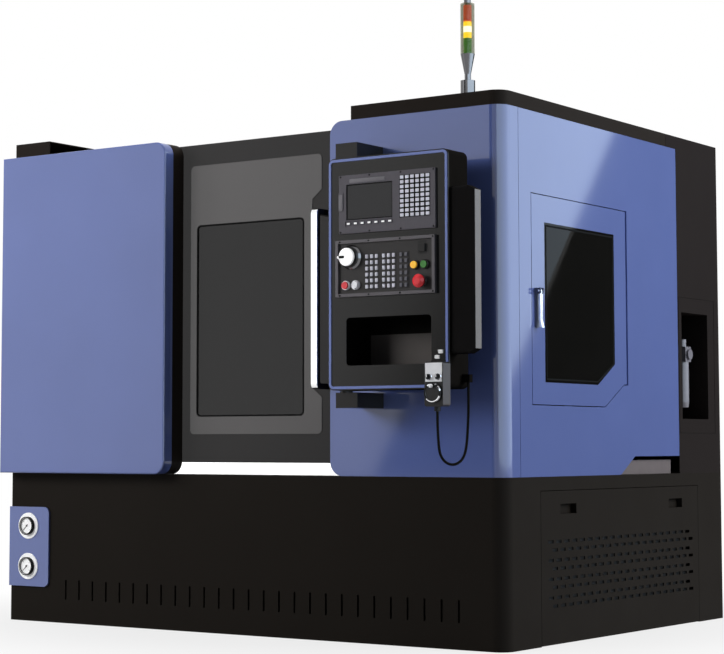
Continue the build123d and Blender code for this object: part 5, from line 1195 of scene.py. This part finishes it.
def finishes() -> list[Finish | Pane]:
    """All finishes of the machine.

    Returns:
        The finishes.
    """
    powder: dict[str, float] = {"gloss": 0.02, "coat": 0.0, "grain_mm": 1.2, "depth_mm": 0.03}
    return [
        # Blue enamel under a clear coat: even colour with a sharp, pale mirror image over it.
        Paint("blue paint", "#50609a", roughness=0.5, gloss=0.12, coat=0.95),
        Paint("trim paint", "#5c6daa", roughness=0.5, coat=0.2),
        # Textured powder paint on the cabinets: warm and nearly black, with no highlight.
        Paint("base paint", "#1e1b18", roughness=0.55, **powder),
        Paint("cap paint", "#231f1c", roughness=0.5, **powder),
        Paint("rear paint", "#201c1b", roughness=0.5, **powder),
        # Smooth lacquer on the door and its plate: dark, with soft mirror images.
        Paint("door paint", "#191717", roughness=0.2, gloss=0.22, coat=0.0),
        Paint("plate paint", "#3a3737", roughness=0.2, gloss=0.55, coat=0.0),
        # Filled and brushed paint on castings: grey and lumpy, so edges look soft.
        Paint("casting paint", "#505354", roughness=0.5, coat=0.1, grain_mm=4.0, depth_mm=0.08),
        Paint("tank paint", "#181819", roughness=0.5, gloss=0.25, coat=0.0),
        Paint("pump paint", "#293b50"),
        # Thin enamel on small parts: plain black or white with crisp edges.
        Paint("needle enamel", "#090909", edge_mm=0.1),
        Paint("white enamel", "#f2f2f2", edge_mm=0.4, depth_mm=0.004),
        # Strips of sheet steel: polished along the front sill, and grey under the side panel.
        Finish("sill steel", "#716c6e", 0.1, grain=Grain.ALONG_X, zones=(
            Zone("#f8f8f8", (-FAR, -FAR, 0.0), (FAR, -0.5, FAR), 1.0),
        )),
        # Rolled stainless sheet: streaks along the chamber. Ground steel: an even, soft shine.
        Metal("liner steel", "#8d9094", 0.38, grain=Grain.ALONG_X),
        Metal("ground steel", "#a8abae", 0.28),
        # Plated or polished steel: hard white and black mirror images.
        Metal("chrome", "#e9eaee", 0.08),
        Metal("tower steel", "#646466", 0.12),
        # Blackened steel: dark, with a dull sheen at its edges.
        Metal("black oxide", "#141415", 0.42),
        # Lacquered sheet of the pendant: matt sides, a glossier front, a grey plate in the pocket. The one
        # lacquer is painted lighter on the sides than on the front as painted light, and the pocket's plate
        # is painted light grey as painted light in the pocket's shade.
        Finish("pendant paint", "#161514", 0.16, 0.0, zones=(
            Zone("#0f0e0d", (0.5, -1.06, 0.7), (1.2, -1.0385, 1.7), gloss=0.27),
            Zone("#635f5d", (0.56, -0.893, 0.75), (1.01, -0.8875, 1.05), gloss=0.0),
        )),
        # Extruded aluminium handle: a brushed bright front, with its ends and sides painted near-black as
        # painted shade.
        Finish("handle aluminium", "#161515", 0.14, 0.1, grain=Grain.ALONG_Z, zones=(
            Zone("#fbfbfb", (0.3, -0.9, 0.86), (0.45, -0.876, 1.51), 0.9),
        )),
        # Painted grip bar: nearly black, with its outer face painted grey as painted light from the side
        # lamp.
        Finish("grip paint", "#191818", 0.3, 0.0, zones=(
            Zone("#65615f", (1.1172, -FAR, 0.9), (1.2, FAR, 1.6)),
        )),
        # Moulded case: black, with its lit side painted grey as painted light, and a bright printed field at
        # the selectors.
        Finish("hand plastic", "#0e0e0f", 0.4, zones=(
            Zone("#393536", (1.0285, -FAR, 0.0), (1.1, FAR, FAR)),
            Zone("#d2d3d6", (0.962, -1.1, 0.880), (1.026, -1.0893, 0.941), 0.3),
        )),
        # Moulded panel: grey front, darker recesses, and a black field at the port cover beside the keys,
        # painted shade of a small recess.
        Finish("panel plastic", "#242222", 0.4, zones=(
            Zone("#545155", (0.5, -1.06, 1.1), (1.1, -1.0475, 1.4)),
            Zone("#111010", (0.908, -1.06, 1.300), (0.942, -1.045, 1.345)),
        )),
        # Silicone key mats: dull black under the keys, so that the caps stand out.
        Finish("mat rubber", "#0c0c0d", 0.6, 0.1, zones=(
            Zone("#242222", (0.5, -1.1, 1.1), (1.1, -1.0, 1.37)),
            Zone("#4c4950", (0.5, -1.1, 1.405), (0.82, -1.0, 1.4285)),
        )),
        # Moulded stop button: a signal red head on a black neck.
        Finish("stop plastic", "#121213", 0.25, zones=(
            Zone("#e02631", (0.8, -1.2, 1.1), (1.0, -1.067, 1.3)),
        )),
        # Coloured lamp covers: red over amber over green, with the amber one lit from inside. The red and
        # green ones glow too, as painted light.
        Finish("lamp plastic", "#d8392b", 0.3, zones=(
            Zone("#d8261c", (0.0, -FAR, 2.127), (2.0, FAR, 2.3), glow=0.8),
            Zone("#1c8a2c", (0.0, -FAR, 2.0), (2.0, FAR, 2.0685), glow=0.5),
            Zone("#ffd21e", (0.0, -FAR, 2.0685), (2.0, FAR, 2.127), glow=2.4),
            Zone("#fff6d8", (0.0, -FAR, 2.087), (2.0, FAR, 2.108), glow=3.0),
        )),
        # Smoked safety panes: nearly black, with a faint view of the chamber.
        Pane("door pane", "#131212", 0.06, 0.06),
        Pane("side pane", "#131312", 0.04, 0.02, 0.05),
        # Clear covers: the lamps and the dials show through them.
        Pane("lens acrylic", "#686c30", 0.6, 0.05),
        Pane("gauge glass", "#f4f4f4", 0.9, 0.03),
        # Screen that is switched off: dark and glossy.
        Plastic("screen glass", "#17171a", 0.1, 0.25),
        # Moulded housings: even greys with a low sheen.
        Plastic("bezel plastic", "#444148", gloss=0.35),
        Plastic("strip plastic", "#636166", gloss=0.35),
        Plastic("filter plastic", "#777780", 0.2),
        Plastic("lever plastic", "#4c5470", 0.3),
        # Moulded keys: dull, so that rows read as pale dots. A little glow keeps whites white.
        Plastic("key plastic", "#dcdce8", 0.5),
        Plastic("white key plastic", "#fafafa", 0.5, glow=0.15),
        Plastic("grey key plastic", "#cfcfdb", 0.5),
        Plastic("dim key plastic", "#56565d", 0.5),
        # Moulded buttons and knobs: clear colours with a small highlight. The yellow button, the knob's white
        # disc and tab, and the gauges' white parts glow a little, as painted light.
        Plastic("red plastic", "#e0303a", 0.25),
        Plastic("white plastic", "#f2f2f6", 0.25),
        Plastic("yellow plastic", "#ffc02a", 0.25, glow=0.2),
        Plastic("green plastic", "#347a2c", 0.25),
        Plastic("knob disc plastic", "#fbfbfb", 0.3, glow=0.3),
        Plastic("knob plastic", "#0b0b0c", 0.35),
        Plastic("gauge plastic", "#f6f6f6", 0.3, glow=0.15),
        # Rubber: black and dull.
        Plastic("cord rubber", "#0a0908", 0.5, 0.03),
        Plastic("seal rubber", "#070707", 0.6, 0.05),
    ]


def main() -> None:
    """Load the solids, dress them and set the studio up round them."""
    logging.basicConfig(level=logging.INFO)
    for old in list(bpy.data.objects):
        bpy.data.objects.remove(old)
    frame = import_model()
    studio = Studio()
    studio.build_camera()
    shop = Shop(frame["nodes"], finishes())
    hand_unit = HandUnit(shop)
    hand_unit.build_cord()
    for assembly in (Enclosure(shop), Interior(shop), Gauges(shop), Pendant(shop), hand_unit):
        assembly.dress()
    studio.build()
    LOG.info("dressed %d nodes", len(frame["nodes"]))


if __name__ == "__main__":
    main()
